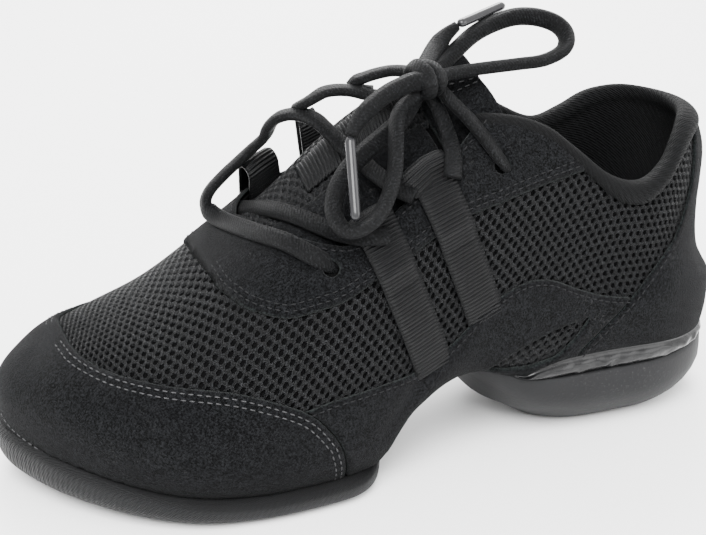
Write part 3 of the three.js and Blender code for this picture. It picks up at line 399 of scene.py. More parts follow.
def even_steps(line, step):
    """The line again, with points at even distances."""
    span = np.concatenate([[0], np.cumsum(np.linalg.norm(np.diff(line, axis=0), axis=1))])
    count = max(2, int(round(span[-1] / step)) + 1)
    at = np.linspace(0, span[-1], count)
    return np.stack([np.interp(at, span, line[:, i]) for i in range(line.shape[1])], -1)


def side_line(rows, side, step=1.6):
    """An edge drawn in side view, as a line on the flat map."""
    line = smooth_line(np.stack([rows[:, 0] * SHOE_LENGTH - HEEL_TREAD, rows[:, 1] * INSTEP_HEIGHT], -1), step)
    s, v = locate(line[:, 0], line[:, 1], side)
    top = top_share(s) * INSTEP_HEIGHT
    keep = line[:, 1] < top - 0.2
    bottom = line[:, 1] < underside(s) + 0.2
    return to_flat(s, np.where(bottom, side * 2.0, v))[keep]


def throat_line(side):
    """The edge of the throat, from its height in the plan."""
    rows = THROAT[::-1]
    column = 1 if side > 0 else 2
    line = smooth_line(np.stack([rows[:, 0], rows[:, column] * THROAT_WIDTH / 60], -1), 0.006)
    cut = section(line[:, 0], 0.0)
    half = cut["lateral"] if side > 0 else cut["medial"]
    out = np.clip(line[:, 1] * 60 / half, 0, 0.999)
    v = side * np.arccos(np.clip(out ** (FULLNESS / 2), 0, 1)) / (math.pi / 2)
    v = side * (1 - np.abs(v))
    return to_flat(line[:, 0], v)


ROLL_RADIUS = 4.2


def roll_radius(s):
    """The collar's roll thins out towards the throat."""
    return ROLL_RADIUS - 2.0 * np.clip((s - 0.2) / 0.17, 0, 1) ** 0.8


def collar_line(side, end=COLLAR_END, count=90):
    """The line where what lies on the upper stops under the collar's roll."""
    s = end * (1 - np.cos(np.linspace(0, 1, count) * math.pi / 2))
    z = collar_at(s, side) - 1.24 * roll_radius(s)
    cut = section(s, 0.0)
    rise = np.clip((z - cut["widest"]) / (cut["top"] - cut["widest"]), 0, 1)
    v = 1 - np.arcsin(rise ** (FULLNESS / 2)) / (math.pi / 2)
    return to_flat(s, side * v)


def inside(points, polygon):
    """Which points lie in a polygon of the flat map."""
    result = np.zeros(len(points), bool)
    x, y = points[:, 0], points[:, 1]
    for (ax, ay), (bx, by) in zip(polygon, np.roll(polygon, -1, axis=0)):
        if ay == by:
            continue
        crosses = (ay > y) != (by > y)
        result ^= crosses & (x < (bx - ax) * (y - ay) / (by - ay) + ax)
    return result


# Past the flat map's own edge, so that a region reaches right down
LIMIT = 190.0


def window_line(side):
    """The outline of the mesh window in the side panel."""
    line = np.vstack([WINDOW, WINDOW[:1]]) * [SHOE_LENGTH, INSTEP_HEIGHT] - [HEEL_TREAD, 0]
    line = even_steps(line, 1.0)
    return to_flat(*locate(line[:, 0], line[:, 1], side))


def make_regions():
    """The lines of the flat map, and the closed regions between them."""
    guard = {side: side_line(GUARD_EDGE, side) for side in (1, -1)}
    counter = {side: side_line(COUNTER_EDGE, side) for side in (1, -1)}
    panel = {side: side_line(PANEL_EDGE, side) for side in (1, -1)}
    eyestay = {side: side_line(EYESTAY_EDGE, side) for side in (1, -1)}
    window = {side: window_line(side) for side in (1, -1)}
    throat = {side: throat_line(side) for side in (1, -1)}
    collar = {side: collar_line(side) for side in (1, -1)}
    band = {}
    for side in (1, -1):
        s = np.concatenate([np.linspace(0, 0.04, 14), np.linspace(0.04, 0.345, 70)[1:]])
        z = np.maximum(underside(s) + 0.2, band_share(s) * INSTEP_HEIGHT + 0.3)
        x = along_at(s, z, 0.0, section(s, 0.0))
        found, v = locate(x, z, side)
        band[side] = to_flat(found, v)
    lines = dict(guard=guard, counter=counter, panel=panel, eyestay=eyestay, window=window,
                 throat=throat, collar=collar, band=band)
    regions = {}
    guard_top = (guard[1][-1, 0] + guard[-1][-1, 0]) / 2 + 1.0
    regions["guard"] = np.vstack([
        [[Q_END + 9, LIMIT]], [[guard[1][0, 0], LIMIT]], guard[1], [[guard_top, 0]], guard[-1][::-1],
        [[guard[-1][0, 0], -LIMIT]], [[Q_END + 9, -LIMIT]],
    ])
    lines["guard_top"] = guard_top
    stay_top = (eyestay[1][0, 0] + eyestay[-1][0, 0]) / 2 + 1.0
    lines["stay_top"] = stay_top
    regions["eyestay"] = np.vstack([
        [[stay_top, 0]], eyestay[1], [[eyestay[1][-1, 0], 3.0]], [[20, 3.0]], [[20, -3.0]],
        [[eyestay[-1][-1, 0], -3.0]], eyestay[-1][::-1],
    ])
    regions["throat"] = np.vstack([throat[1], throat[-1][::-1]])
    for side in (1, -1):
        regions["counter", side] = np.vstack([
            [[counter[side][0, 0], side * LIMIT]], counter[side], [[counter[side][-1, 0], side * 2.0]],
            [[-5, side * 2.0]], [[-5, side * LIMIT]],
        ])
        regions["panel", side] = np.vstack([
            panel[side], [[panel[side][-1, 0], side * LIMIT]], [[panel[side][0, 0], side * LIMIT]],
        ])
        regions["window", side] = window[side]
        regions["collar", side] = np.vstack([
            collar[side], [[collar[side][-1, 0], side * 0.02]], [[-5, side * 0.02]],
            [[-5, collar[side][0, 1]]],
        ])
        regions["band", side] = np.vstack([
            band[side], [[band[side][-1, 0], side * LIMIT]], [[-5, side * LIMIT]], [[-5, band[side][0, 1]]],
        ])
    return lines, regions


LINES, REGIONS = make_regions()


def in_side(points, name):
    """Which points lie in the region of their own side."""
    result = np.zeros(len(points), bool)
    for side in (1, -1):
        mine = points[:, 1] * side >= 0
        result[mine] = inside(points[mine], REGIONS[name, side])
    return result


def on_wall(points):
    """Where the upper's wall is, above the feather edge."""
    return np.abs(from_flat(points)[1]) < 2


def open_above(points):
    """Where the upper is open: the throat and the collar."""
    return inside(points, REGIONS["throat"]) | in_side(points, "collar")


# Meshes

def mesh_object(name, points, faces, material, uv=None, smooth=True, fix=False):
    """An object whose place is in its mesh, from points in millimetres."""
    mesh = bpy.data.meshes.new(name)
    mesh.from_pydata((np.asarray(points, float) * MM).tolist(), [], [list(map(int, face)) for face in faces])
    if uv is not None:
        layer = mesh.uv_layers.new(name="UVMap")
        index = np.zeros(len(mesh.loops), np.int32)
        mesh.loops.foreach_get("vertex_index", index)
        layer.data.foreach_set("uv", (np.asarray(uv, float) * MM)[index].astype(np.float32).ravel())
    mesh.materials.append(material)
    mesh.update()
    if fix:
        shell = bmesh.new()
        shell.from_mesh(mesh)
        bmesh.ops.recalc_face_normals(shell, faces=shell.faces)
        shell.to_mesh(mesh)
        shell.free()
    if smooth:
        mesh.polygons.foreach_set("use_smooth", [True] * len(mesh.polygons))
    made = bpy.data.objects.new(name, mesh)
    bpy.context.scene.collection.objects.link(made)
    return made


def settle(piece, stands_for=()):
    """The finished piece rides on the shoe's body."""
    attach(piece, "root")
    if stands_for:
        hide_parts(*stands_for)
    return piece


def inset_line(line, distance, mapping):
    """The line moved sideways over the surface, to its left for a positive distance."""
    here = mapping(line, np.zeros(len(line)))
    along_q = (mapping(line + [0.3, 0], np.zeros(len(line))) - here) / 0.3
    along_r = (mapping(line + [0, 0.3], np.zeros(len(line))) - here) / 0.3
    tangent = np.gradient(here, axis=0)
    tangent /= np.linalg.norm(tangent, axis=1)[:, None] + 1e-9
    normal = np.cross(along_q, along_r)
    normal /= np.linalg.norm(normal, axis=1)[:, None] + 1e-9
    left = np.cross(normal, tangent)
    a = (along_q * along_q).sum(1)
    b = (along_q * along_r).sum(1)
    c = (along_r * along_r).sum(1)
    d = (left * along_q).sum(1) * distance
    e = (left * along_r).sum(1) * distance
    det = a * c - b * b + 1e-9
    step = np.stack([(c * d - b * e) / det, (a * e - b * d) / det], -1)
    return line + np.clip(step, -6 * abs(distance), 6 * abs(distance))


def segment_distance(points, a, b, chunk=3000):
    """How far each point lies from the nearest of the segments a-b."""
    best = np.full(len(points), 1e9)
    direction = b - a
    length = (direction**2).sum(1) + 1e-12
    for start in range(0, len(points), chunk):
        p = points[start:start + chunk, None, :] - a[None]
        t = np.clip((p * direction[None]).sum(-1) / length[None], 0, 1)
        away = np.linalg.norm(p - t[..., None] * direction[None], axis=-1)
        best[start:start + chunk] = away.min(1)
    return best


def dots_near(lines, distances, member, mapping):
    """Points beside the lines, where a piece's rounded edge needs them."""
    found = []
    for line in lines:
        for distance in (*distances, *(-d for d in distances)):
            row = inset_line(line, distance, mapping)
            found.append(row[member(row)])
    return np.vstack([row for row in found if len(row)])


def cut_patch(lines, dots, member, low, high, step):
    """Triangles of the flat map inside a region: edges follow the lines, and dots round them off."""
    a = np.vstack([line[:-1] for line in lines])
    b = np.vstack([line[1:] for line in lines])
    points, edges = [], []
    for line in lines:
        start = len(points)
        points.extend(line.tolist())
        edges.extend((start + i, start + i + 1) for i in range(len(line) - 1))
    if len(dots):
        dots = dots[segment_distance(dots, a, b) > 0.18]
        _, first = np.unique(np.round(dots / 0.3), axis=0, return_index=True)
        points.extend(dots[np.sort(first)].tolist())
    grid = []
    for r, y in enumerate(np.arange(low[1], high[1], step * 0.87)):
        xs = np.arange(low[0] + (r % 2) * step / 2, high[0], step)
        grid.append(np.stack([xs, np.full(len(xs), y)], -1))
    grid = np.vstack(grid)
    grid = grid[member(grid)]
    grid = grid[segment_distance(grid, a, b) > max(1.3, step * 0.45)]
    points.extend(grid.tolist())
    made = delaunay_2d_cdt([Vector(p) for p in points], edges, [], 0, 1e-5)
    flat = np.array([tuple(p) for p in made[0]], float).reshape(-1, 2)
    faces = np.array([f for f in made[2] if len(f) == 3], int)
    faces = faces[member(flat[faces].mean(1))]
    used, inverse = np.unique(faces, return_inverse=True)
    return flat[used], inverse.reshape(-1, 3)


def weld(flat, faces, mapping):
    """Joins points that meet at the back of the heel or the tip of the toe."""
    at = np.round(mapping(flat, np.zeros(len(flat))), 2)
    _, first, inverse = np.unique(at, axis=0, return_index=True, return_inverse=True)
    faces = inverse.reshape(-1)[faces]
    good = (faces[:, 0] != faces[:, 1]) & (faces[:, 1] != faces[:, 2]) & (faces[:, 0] != faces[:, 2])
    return flat[first], faces[good]


def border(faces):
    """The directed edges that only one triangle has."""
    edges = np.vstack([faces[:, [0, 1]], faces[:, [1, 2]], faces[:, [2, 0]]])
    key = np.sort(edges, axis=1)
    _, inverse, count = np.unique(key, axis=0, return_inverse=True, return_counts=True)
    return edges[count[inverse.reshape(-1)] == 1]


def sheet_piece(name, flat, faces, mapping, base, thickness, edge, material, puff=None):
    """A piece of suede or cloth as a closed form with a rounded edge."""
    flat, faces = weld(flat, faces, mapping)
    floor = mapping(flat, np.full(len(flat), base))
    rim = border(faces)
    away = segment_distance(floor, floor[rim[:, 0]], floor[rim[:, 1]])
    share = np.clip(away / edge, 0, 1)
    height = thickness * np.sqrt(1 - (1 - share) ** 2)
    if puff is not None:
        height = height + puff(flat, away)
    top = mapping(flat, base + height)
    normals = np.cross(top[faces[:, 1]] - top[faces[:, 0]], top[faces[:, 2]] - top[faces[:, 0]])
    outward = top[faces].mean(1) - floor[faces].mean(1)
    if (normals * outward).sum() < 0:
        faces = faces[:, ::-1]
    on_rim = np.zeros(len(flat), bool)
    on_rim[rim.ravel()] = True
    lower = np.where(on_rim, np.arange(len(flat)), 0)
    inner = np.where(~on_rim)[0]
    lower[inner] = len(flat) + np.arange(len(inner))
    points = np.vstack([top, floor[inner]])
    under = lower[faces[:, ::-1]]
    uv = np.vstack([flat, flat[inner]])
    made = mesh_object(name, points, np.vstack([faces, under]), material, uv=uv)
    values = np.concatenate([away, away[inner]]).astype(np.float32)
    made.data.attributes.new("from_edge", "FLOAT", "POINT").data.foreach_set("value", values)
    return made


def grid_faces(rows, columns, wrap_rows=False, wrap_columns=False):
    """Quads between rows of points."""
    faces = []
    for r in range(rows if wrap_rows else rows - 1):
        for c in range(columns if wrap_columns else columns - 1):
            r2, c2 = (r + 1) % rows, (c + 1) % columns
            faces.append((r * columns + c, r * columns + c2, r2 * columns + c2, r2 * columns + c))
    return faces


def loft_piece(name, rings, material, cap=True, closed=False):
    """A skin over rings of points; uv runs along the rings and round them."""
    rings = np.asarray(rings, float)
    rows, columns = rings.shape[:2]
    faces = grid_faces(rows, columns, wrap_rows=closed, wrap_columns=True)
    along = np.concatenate([[0], np.cumsum(np.linalg.norm(np.diff(rings.mean(1), axis=0), axis=1))])
    widest = rings[rows // 2]
    around = np.concatenate([[0], np.cumsum(np.linalg.norm(np.diff(widest, axis=0), axis=1))])
    uv = np.stack(np.meshgrid(along, around, indexing="ij"), -1).reshape(-1, 2)
    if cap and not closed:
        faces.append(tuple(range(columns))[::-1])
        faces.append(tuple((rows - 1) * columns + c for c in range(columns)))
    return mesh_object(name, rings.reshape(-1, 3), faces, material, uv=uv, fix=True)


def sweep_rings(path, up, profile, scale=None):
    """A profile carried along a path; up points out of its flat side."""
    path = np.asarray(path, float)
    up = np.broadcast_to(np.asarray(up, float), path.shape)
    tangent = np.gradient(path, axis=0)
    tangent /= np.linalg.norm(tangent, axis=1)[:, None]
    across = np.cross(tangent, up)
    across /= np.linalg.norm(across, axis=1)[:, None] + 1e-9
    out = np.cross(across, tangent)
    size = np.ones((len(path), 2)) if scale is None else np.asarray(scale, float)
    x = profile[None, :, 0] * size[:, :1]
    y = profile[None, :, 1] * size[:, 1:]
    return path[:, None] + across[:, None] * x[..., None] + out[:, None] * y[..., None]


def oval(width, thickness, count=16, power=2.6):
    """A flattened round profile."""
    angle = np.linspace(0, 2 * math.pi, count, endpoint=False)
    c, s = np.cos(angle), np.sin(angle)
    x = np.sign(c) * np.abs(c) ** (2 / power) * width / 2
    y = np.sign(s) * np.abs(s) ** (2 / power) * thickness / 2
    return np.stack([x, y], -1)


# Materials

def new_group(name, inputs, outputs):
    """A shader node group with named sockets, built once."""
    tree = bpy.data.node_groups.get(name)
    if tree:
        return tree, False
    tree = bpy.data.node_groups.new(name, "ShaderNodeTree")
    for label, kind, value in inputs:
        socket = tree.interface.new_socket(name=label, in_out="INPUT", socket_type=kind)
        if value is not None:
            socket.default_value = value
    for label, kind in outputs:
        tree.interface.new_socket(name=label, in_out="OUTPUT", socket_type=kind)
    return tree, True


class Nodes:
    """Short calls for building a node tree."""

    def __init__(self, tree):
        self.tree = tree
        self.step = 0

    def add(self, kind, values=None, **settings):
        node = self.tree.nodes.new(kind)
        node.location = (self.step * 190 - 1400, -(self.step % 5) * 170)
        self.step += 1
        for key, value in settings.items():
            setattr(node, key, value)
        for key, value in (values or {}).items():
            if hasattr(value, "links"):
                self.tree.links.new(value, node.inputs[key])
            else:
                node.inputs[key].default_value = value
        return node

    def math(self, operation, a, b=0.0, clamp=False):
        return self.add("ShaderNodeMath", {0: a, 1: b}, operation=operation, use_clamp=clamp).outputs[0]

    def ramp(self, value, low, high):
        """0 below low and 1 above high."""
        node = self.add("ShaderNodeMapRange", {"Value": value, "From Min": low, "From Max": high})
        return node.outputs["Result"]

    def mix(self, factor, a, b):
        node = self.add("ShaderNodeMix", data_type="RGBA")
        for key, value in ((0, factor), (6, a), (7, b)):
            if hasattr(value, "links"):
                self.tree.links.new(value, node.inputs[key])
            else:
                node.inputs[key].default_value = value
        return node.outputs[2]

    def noise(self, vector, scale, detail=3.0, rough=0.6):
        values = {"Vector": vector, "Scale": scale, "Detail": detail, "Roughness": rough}
        return self.add("ShaderNodeTexNoise", values).outputs["Fac"]


def nap_group():
    """Short brushed fibres: a mask of lighter streaks and a height."""
    tree, fresh = new_group("suede_nap", [("Fineness", "NodeSocketFloat", 1.0)],
                            [(label, "NodeSocketFloat") for label in ("Mask", "Height", "Patch")])
    if not fresh:
        return tree
    n = Nodes(tree)
    source = n.add("NodeGroupInput")
    sink = n.add("NodeGroupOutput")
    place = n.add("ShaderNodeTexCoord").outputs["Object"]
    scaled = n.add("ShaderNodeVectorMath", {0: place}, operation="SCALE")
    tree.links.new(source.outputs["Fineness"], scaled.inputs["Scale"])
    fine = n.noise(scaled.outputs[0], 1500.0, 3.0, 0.85)
    middle = n.noise(scaled.outputs[0], 420.0, 4.0, 0.7)
    wide = n.noise(scaled.outputs[0], 48.0, 4.0, 0.6)
    mask = n.math("ADD", n.math("MULTIPLY", fine, 0.8), n.math("MULTIPLY", middle, 0.2))
    tree.links.new(n.ramp(mask, 0.44, 0.62), sink.inputs["Mask"])
    tree.links.new(mask, sink.inputs["Height"])
    tree.links.new(n.ramp(wide, 0.35, 0.7), sink.inputs["Patch"])
    return tree


def weave_group():
    """Two sets of threads that cross on the piece's own map."""
    inputs = [("Pitch", "NodeSocketFloat", 900.0), ("Slant", "NodeSocketFloat", 0.0)]
    tree, fresh = new_group("crossed_threads", inputs, [(label, "NodeSocketFloat") for label in ("Height", "Fleck")])
    if not fresh:
        return tree
    n = Nodes(tree)
    source = n.add("NodeGroupInput")
    sink = n.add("NodeGroupOutput")
    place = n.add("ShaderNodeTexCoord").outputs["UV"]
    parts = n.add("ShaderNodeSeparateXYZ", {0: place})
    slant = n.math("MULTIPLY", parts.outputs["Y"], source.outputs["Slant"])
    x = n.math("MULTIPLY", n.math("ADD", parts.outputs["X"], slant), source.outputs["Pitch"])
    back = n.math("SUBTRACT", parts.outputs["X"], slant)
    y = n.math("MULTIPLY", n.math("ADD", parts.outputs["Y"], n.math("MULTIPLY", back, 0.35)), source.outputs["Pitch"])
    wave_x = n.math("SINE", n.math("MULTIPLY", x, 2 * math.pi))
    wave_y = n.math("SINE", n.math("MULTIPLY", y, 2 * math.pi))
    height = n.math("ADD", n.math("MULTIPLY", n.math("MULTIPLY", wave_x, wave_y), 0.5), 0.5)
    # Specks: paler fibres, and painted glints where the cloth puts them on the thread tops
    fleck_and_glint = n.noise(n.add("ShaderNodeTexCoord").outputs["Object"], 1500.0, 3.0, 0.7)
    tree.links.new(height, sink.inputs["Height"])
    tree.links.new(n.ramp(fleck_and_glint, 0.5, 0.72), sink.inputs["Fleck"])
    return tree


def wear_group():
    """Thin scuffs and lint, rare and pale."""
    tree, fresh = new_group("scuffs_and_lint", [("Amount", "NodeSocketFloat", 0.5)], [("Mask", "NodeSocketFloat")])
    if not fresh:
        return tree
    n = Nodes(tree)
    source = n.add("NodeGroupInput")
    sink = n.add("NodeGroupOutput")
    place = n.add("ShaderNodeTexCoord").outputs["Object"]
    where = n.noise(place, 34.0, 3.0, 0.5)
    grain = n.noise(place, 900.0, 2.0, 0.8)
    rare = n.math("MULTIPLY", n.ramp(where, 0.52, 0.7), n.ramp(grain, 0.58, 0.7))
    tree.links.new(n.math("MULTIPLY", rare, source.outputs["Amount"]), sink.inputs["Mask"])
    return tree


LINT = (0.035, 0.035, 0.035)
# Colour of the painted highlight along the suede's edges
EDGE_GLINT = (0.018, 0.024, 0.0225)


def new_material(name):
    """An empty node material with its shader joined to the output."""
    made = bpy.data.materials.new(name)
    made.use_nodes = True
    made.node_tree.nodes.clear()
    n = Nodes(made.node_tree)
    shader = n.add("ShaderNodeBsdfPrincipled")
    out = n.add("ShaderNodeOutputMaterial")
    made.node_tree.links.new(shader.outputs[0], out.inputs[0])
    return made, n, shader


def rgb(colour, scale=1.0):
    """A colour with its brightness scaled, for a node."""
    return (colour[0] * scale, colour[1] * scale, colour[2] * scale, 1.0)


def placed(n, group, **values):
    """A node group placed in a material."""
    node = n.add("ShaderNodeGroup")
    node.node_tree = group
    for key, value in values.items():
        node.inputs[key].default_value = value
    return node


def bump(n, shader, height, distance, strength=1.0, under=None):
    """Relief from a height."""
    values = {"Height": height, "Distance": distance, "Strength": strength}
    if under is not None:
        values["Normal"] = under
    made = n.add("ShaderNodeBump", values).outputs[0]
    n.tree.links.new(made, shader.inputs["Normal"])
    return made


def suede_material(name, colour, light=5.0, fineness=1.0):
    """Napped suede, with a painted greenish highlight along its rounded edges."""
    made, n, shader = new_material(name)
    nap = placed(n, nap_group(), Fineness=fineness)
    wear = placed(n, wear_group(), Amount=0.5)
    tone = n.mix(nap.outputs["Mask"], rgb(colour, 0.2), rgb(colour, light))
    tone = n.mix(n.math("MULTIPLY", nap.outputs["Patch"], 0.3), tone, rgb(colour, 1.6))
    edge = n.add("ShaderNodeAttribute", attribute_name="from_edge").outputs["Fac"]
    # Painted highlight: a greenish glint on the nap near each piece's edge
    edge_glint = n.math("MULTIPLY", n.ramp(edge, 0.6, 0.1), nap.outputs["Mask"])
    tone = n.mix(n.math("MULTIPLY", edge_glint, 0.7), tone, rgb(EDGE_GLINT))
    tone = n.mix(wear.outputs["Mask"], tone, rgb(LINT))
    n.tree.links.new(tone, shader.inputs["Base Color"])
    rough = n.math("ADD", n.math("MULTIPLY", nap.outputs["Mask"], 0.12), 0.8)
    n.tree.links.new(rough, shader.inputs["Roughness"])
    bump(n, shader, nap.outputs["Height"], 0.0007, 1.0)
    shader.inputs["Sheen Weight"].default_value = 0.03
    shader.inputs["Sheen Roughness"].default_value = 0.5
    shader.inputs["Specular IOR Level"].default_value = 0.1
    shader.inputs["IOR"].default_value = 1.15
    return made


def cloth_material(name, colour, pitch, slant, light, depth, shine, rough):
    """Cloth of crossed threads, with painted shade in the hollows between them and bright specks that are partly
    paler fibres and partly painted glints.
    """
    made, n, shader = new_material(name)
    weave = placed(n, weave_group(), Pitch=pitch, Slant=slant)
    # Painted shade and highlight: darker in the hollows between threads, lighter on their tops
    tone = n.mix(weave.outputs["Height"], rgb(colour, 0.4), rgb(colour, 1.4))
    # Bright specks, partly paler fibres and partly painted glints, strongest on the thread tops
    fleck_and_glint = n.math("MULTIPLY", weave.outputs["Fleck"], n.math("ADD", weave.outputs["Height"], 0.3))
    n.tree.links.new(n.mix(fleck_and_glint, tone, rgb(colour, light)), shader.inputs["Base Color"])
    height = n.math("ADD", weave.outputs["Height"], n.math("MULTIPLY", weave.outputs["Fleck"], 0.5))
    bump(n, shader, height, depth, 0.9)
    shader.inputs["Roughness"].default_value = rough
    shader.inputs["Specular IOR Level"].default_value = shine
    shader.inputs["IOR"].default_value = 1.4
    return made


def rubber_material(name, colour, pitch=0.0, slant=0.0):
    """Matte rubber, with fine ribs where pitch is given and painted shade in their grooves."""
    made, n, shader = new_material(name)
    place = n.add("ShaderNodeTexCoord")
    wide = n.noise(place.outputs["Object"], 60.0, 4.0, 0.6)
    fine = n.noise(place.outputs["Object"], 900.0, 3.0, 0.6)
    wear = placed(n, wear_group(), Amount=0.6)
    tone = n.mix(n.ramp(wide, 0.35, 0.7), rgb(colour, 0.75), rgb(colour, 1.25))
    height = fine
    if pitch:
        weave = placed(n, weave_group(), Pitch=pitch, Slant=slant)
        height = n.math("ADD", n.math("MULTIPLY", weave.outputs["Height"], 1.0), n.math("MULTIPLY", fine, 0.35))
        # Painted shade: darker in the grooves between the ribs
        tone = n.mix(weave.outputs["Height"], rgb(colour, 0.6), tone)
    tone = n.mix(wear.outputs["Mask"], tone, rgb(LINT))
    n.tree.links.new(tone, shader.inputs["Base Color"])
    n.tree.links.new(n.math("ADD", n.math("MULTIPLY", wide, 0.15), 0.55), shader.inputs["Roughness"])
    bump(n, shader, height, 0.0006 if pitch else 0.0001, 1.0)
    shader.inputs["Specular IOR Level"].default_value = 0.2
    return made


def gloss_material(name, colour, rough=0.16, wrinkle=0.0):
    """Glossy plastic, wrinkled where asked."""
    made, n, shader = new_material(name)
    place = n.add("ShaderNodeTexCoord").outputs["Object"]
    wide = n.noise(place, 240.0, 3.0, 0.5)
    fine = n.noise(place, 1500.0, 2.0, 0.6)
    n.tree.links.new(n.mix(wide, rgb(colour, 0.7), rgb(colour, 1.4)), shader.inputs["Base Color"])
    n.tree.links.new(n.math("ADD", n.math("MULTIPLY", fine, 0.1), rough), shader.inputs["Roughness"])
    if wrinkle:
        bump(n, shader, wide, wrinkle, 0.7)
    shader.inputs["Specular IOR Level"].default_value = 0.3
    return made


def stage_material(name, colour):
    """The pale floor."""
    made, n, shader = new_material(name)
    place = n.add("ShaderNodeTexCoord").outputs["Object"]
    wide = n.noise(place, 3.0, 2.0, 0.5)
    n.tree.links.new(n.mix(wide, rgb(colour, 0.995), rgb(colour)), shader.inputs["Base Color"])
    shader.inputs["Roughness"].default_value = 0.9
    return made


# Columns: material, colour or its setting, threads a metre, slant, brightness of the specks and their painted glints,
# depth, shine, roughness
CLOTHS = {
    "mesh": ("mesh_yarn", "mesh_colour", 1300.0, 0.5, 12.0, 0.0004, 0.2, 0.4),
    "backing": ("mesh_backing", (0.0012, 0.0012, 0.0013), 900.0, 0.0, 1.5, 0.0002, 0.05, 0.7),
    "knit": ("collar_knit", "knit_colour", 560.0, 1.0, 3.0, 0.0006, 0.12, 0.7),
    "webbing": ("ribbed_webbing", "webbing_colour", 1700.0, 0.0, 3.0, 0.0001, 0.16, 0.34),
    "lace": ("woven_lace", "lace_colour", 1300.0, 1.0, 9.0, 0.0005, 0.14, 0.5),
    "thread": ("stitch_thread", (0.03, 0.03, 0.031), 2500.0, 0.0, 3.0, 0.0003, 0.2, 0.7),
    "dark thread": ("dark_thread", (0.006, 0.006, 0.0065), 2500.0, 0.0, 3.0, 0.0003, 0.2, 0.7),
    "insole": ("insole_cloth", (0.006, 0.006, 0.0066), 1100.0, 0.0, 2.0, 0.0002, 0.1, 0.7),
}
# Columns: material, colour, roughness, depth of the wrinkles
GLOSSES = {
    "gloss": ("gloss_band", (0.0025, 0.0025, 0.0028), 0.24, 0.0004),
    "aglet": ("lace_tip", (0.012, 0.012, 0.013), 0.12, 0.0),
}
FINISH = {}


def make_finish(name):
    looks = bpy.context.scene.sneaker_looks
    if name in CLOTHS:
        label, colour, *values = CLOTHS[name]
        return cloth_material(label, getattr(looks, colour) if isinstance(colour, str) else colour, *values)
    if name in GLOSSES:
        return gloss_material(*GLOSSES[name])
    if name == "ribbed":
        return rubber_material("ribbed_rubber", looks.rubber_colour, 760.0, 1.0)
    if name == "rubber":
        return rubber_material("matte_rubber", looks.rubber_colour)
    return suede_material("black_suede", looks.suede_colour)


def finish_for(name):
    """The material of a kind of surface, made once."""
    if name not in FINISH:
        FINISH[name] = make_finish(name)
    return FINISH[name]


# Settings

DARK_CLOTH = (0.0021, 0.0022, 0.0024)


def length_setting(name, text, default, low, high):
    return FloatProperty(name=name, description=text, default=default, min=low, max=high,
                         subtype="DISTANCE", unit="LENGTH")


def colour_setting(name, text, default):
    return FloatVectorProperty(name=name, description=text, default=default, min=0, max=1, size=3,
                               subtype="COLOR")


class SneakerLooks(bpy.types.PropertyGroup):
    """Sizes and colours that a user may change."""

    lace_width: length_setting("Lace width", "Width of the flat lace", 0.0062, 0.004, 0.009)
    lace_thickness: length_setting("Lace thickness", "Thickness of the flat lace", 0.0043, 0.001, 0.006)
    mesh_pitch: length_setting("Mesh pitch", "Distance between the holes of the mesh", 0.003, 0.002, 0.006)
    stitch_spacing: length_setting("Stitch spacing", "Distance from one stitch to the next", 0.0027, 0.0015, 0.006)
    rib_pitch: length_setting("Rib pitch", "Distance between the ribs of the webbing", 0.00125, 0.0008, 0.003)
    suede_colour: colour_setting("Suede", "Colour of the suede", (0.0019, 0.002, 0.0022))
    mesh_colour: colour_setting("Mesh", "Colour of the mesh yarn", (0.0022, 0.0023, 0.0025))
    knit_colour: colour_setting("Knit", "Colour of the collar's knit", DARK_CLOTH)
    webbing_colour: colour_setting("Webbing", "Colour of the webbing", DARK_CLOTH)
    lace_colour: colour_setting("Lace", "Colour of the lace", DARK_CLOTH)
    rubber_colour: colour_setting("Rubber", "Colour of the soles", (0.0042, 0.0044, 0.0049))


# Operators

CAMERA_AZIMUTH = 20.86
CAMERA_ELEVATION = 22.04
CAMERA_DISTANCE = 0.5
CAMERA_AIM = (0.0966, -0.0002, 0.0614)
CAMERA_LENS = 73.94
SENSOR_WIDTH = 36.0
SKY_STRENGTH = 2.4
FLOOR_HALF = 3000
FLOOR_LEVEL = -0.15
FLOOR_COLOUR = (0.93, 0.93, 0.93)
LIGHT_AIM = (0.08, 0, 0.05)
# Columns: name, place and side in metres, power in watts
LIGHTS = [
    ("key", (0.55, 0.75, 1.15), 0.9, 60.0),
    ("fill", (-0.9, 0.9, 0.7), 1.0, 14.0),
    ("rim", (-0.2, -0.9, 0.9), 0.8, 34.0),
]


def add_camera(scene):
    azimuth, elevation = math.radians(CAMERA_AZIMUTH), math.radians(CAMERA_ELEVATION)
    back = Vector((math.sin(azimuth) * math.cos(elevation), math.cos(azimuth) * math.cos(elevation),
                   math.sin(elevation)))
    right = Vector((0, 0, 1)).cross(back).normalized()
    up = back.cross(right)
    data = bpy.data.cameras.new("photo_camera")
    data.lens = CAMERA_LENS
    data.sensor_width = SENSOR_WIDTH
    data.clip_start = 0.05
    data.clip_end = 20.0
    camera = bpy.data.objects.new("photo_camera", data)
    turn = Matrix((right, up, back)).transposed()
    camera.matrix_world = Matrix.Translation(Vector(CAMERA_AIM) + back * CAMERA_DISTANCE) @ turn.to_4x4()
    scene.collection.objects.link(camera)
    scene.camera = camera


def add_floor():
    corners = [[x * FLOOR_HALF, y * FLOOR_HALF, FLOOR_LEVEL] for x, y in ((-1, -1), (1, -1), (1, 1), (-1, 1))]
    mesh_object("floor", corners, [(0, 1, 2, 3)], stage_material("pale_floor", FLOOR_COLOUR))


def add_sky(scene):
    world = bpy.data.worlds.new("studio")
    world.use_nodes = True
    sky = world.node_tree.nodes["Background"]
    sky.inputs["Color"].default_value = (1, 1, 1, 1)
    sky.inputs["Strength"].default_value = SKY_STRENGTH
    scene.world = world


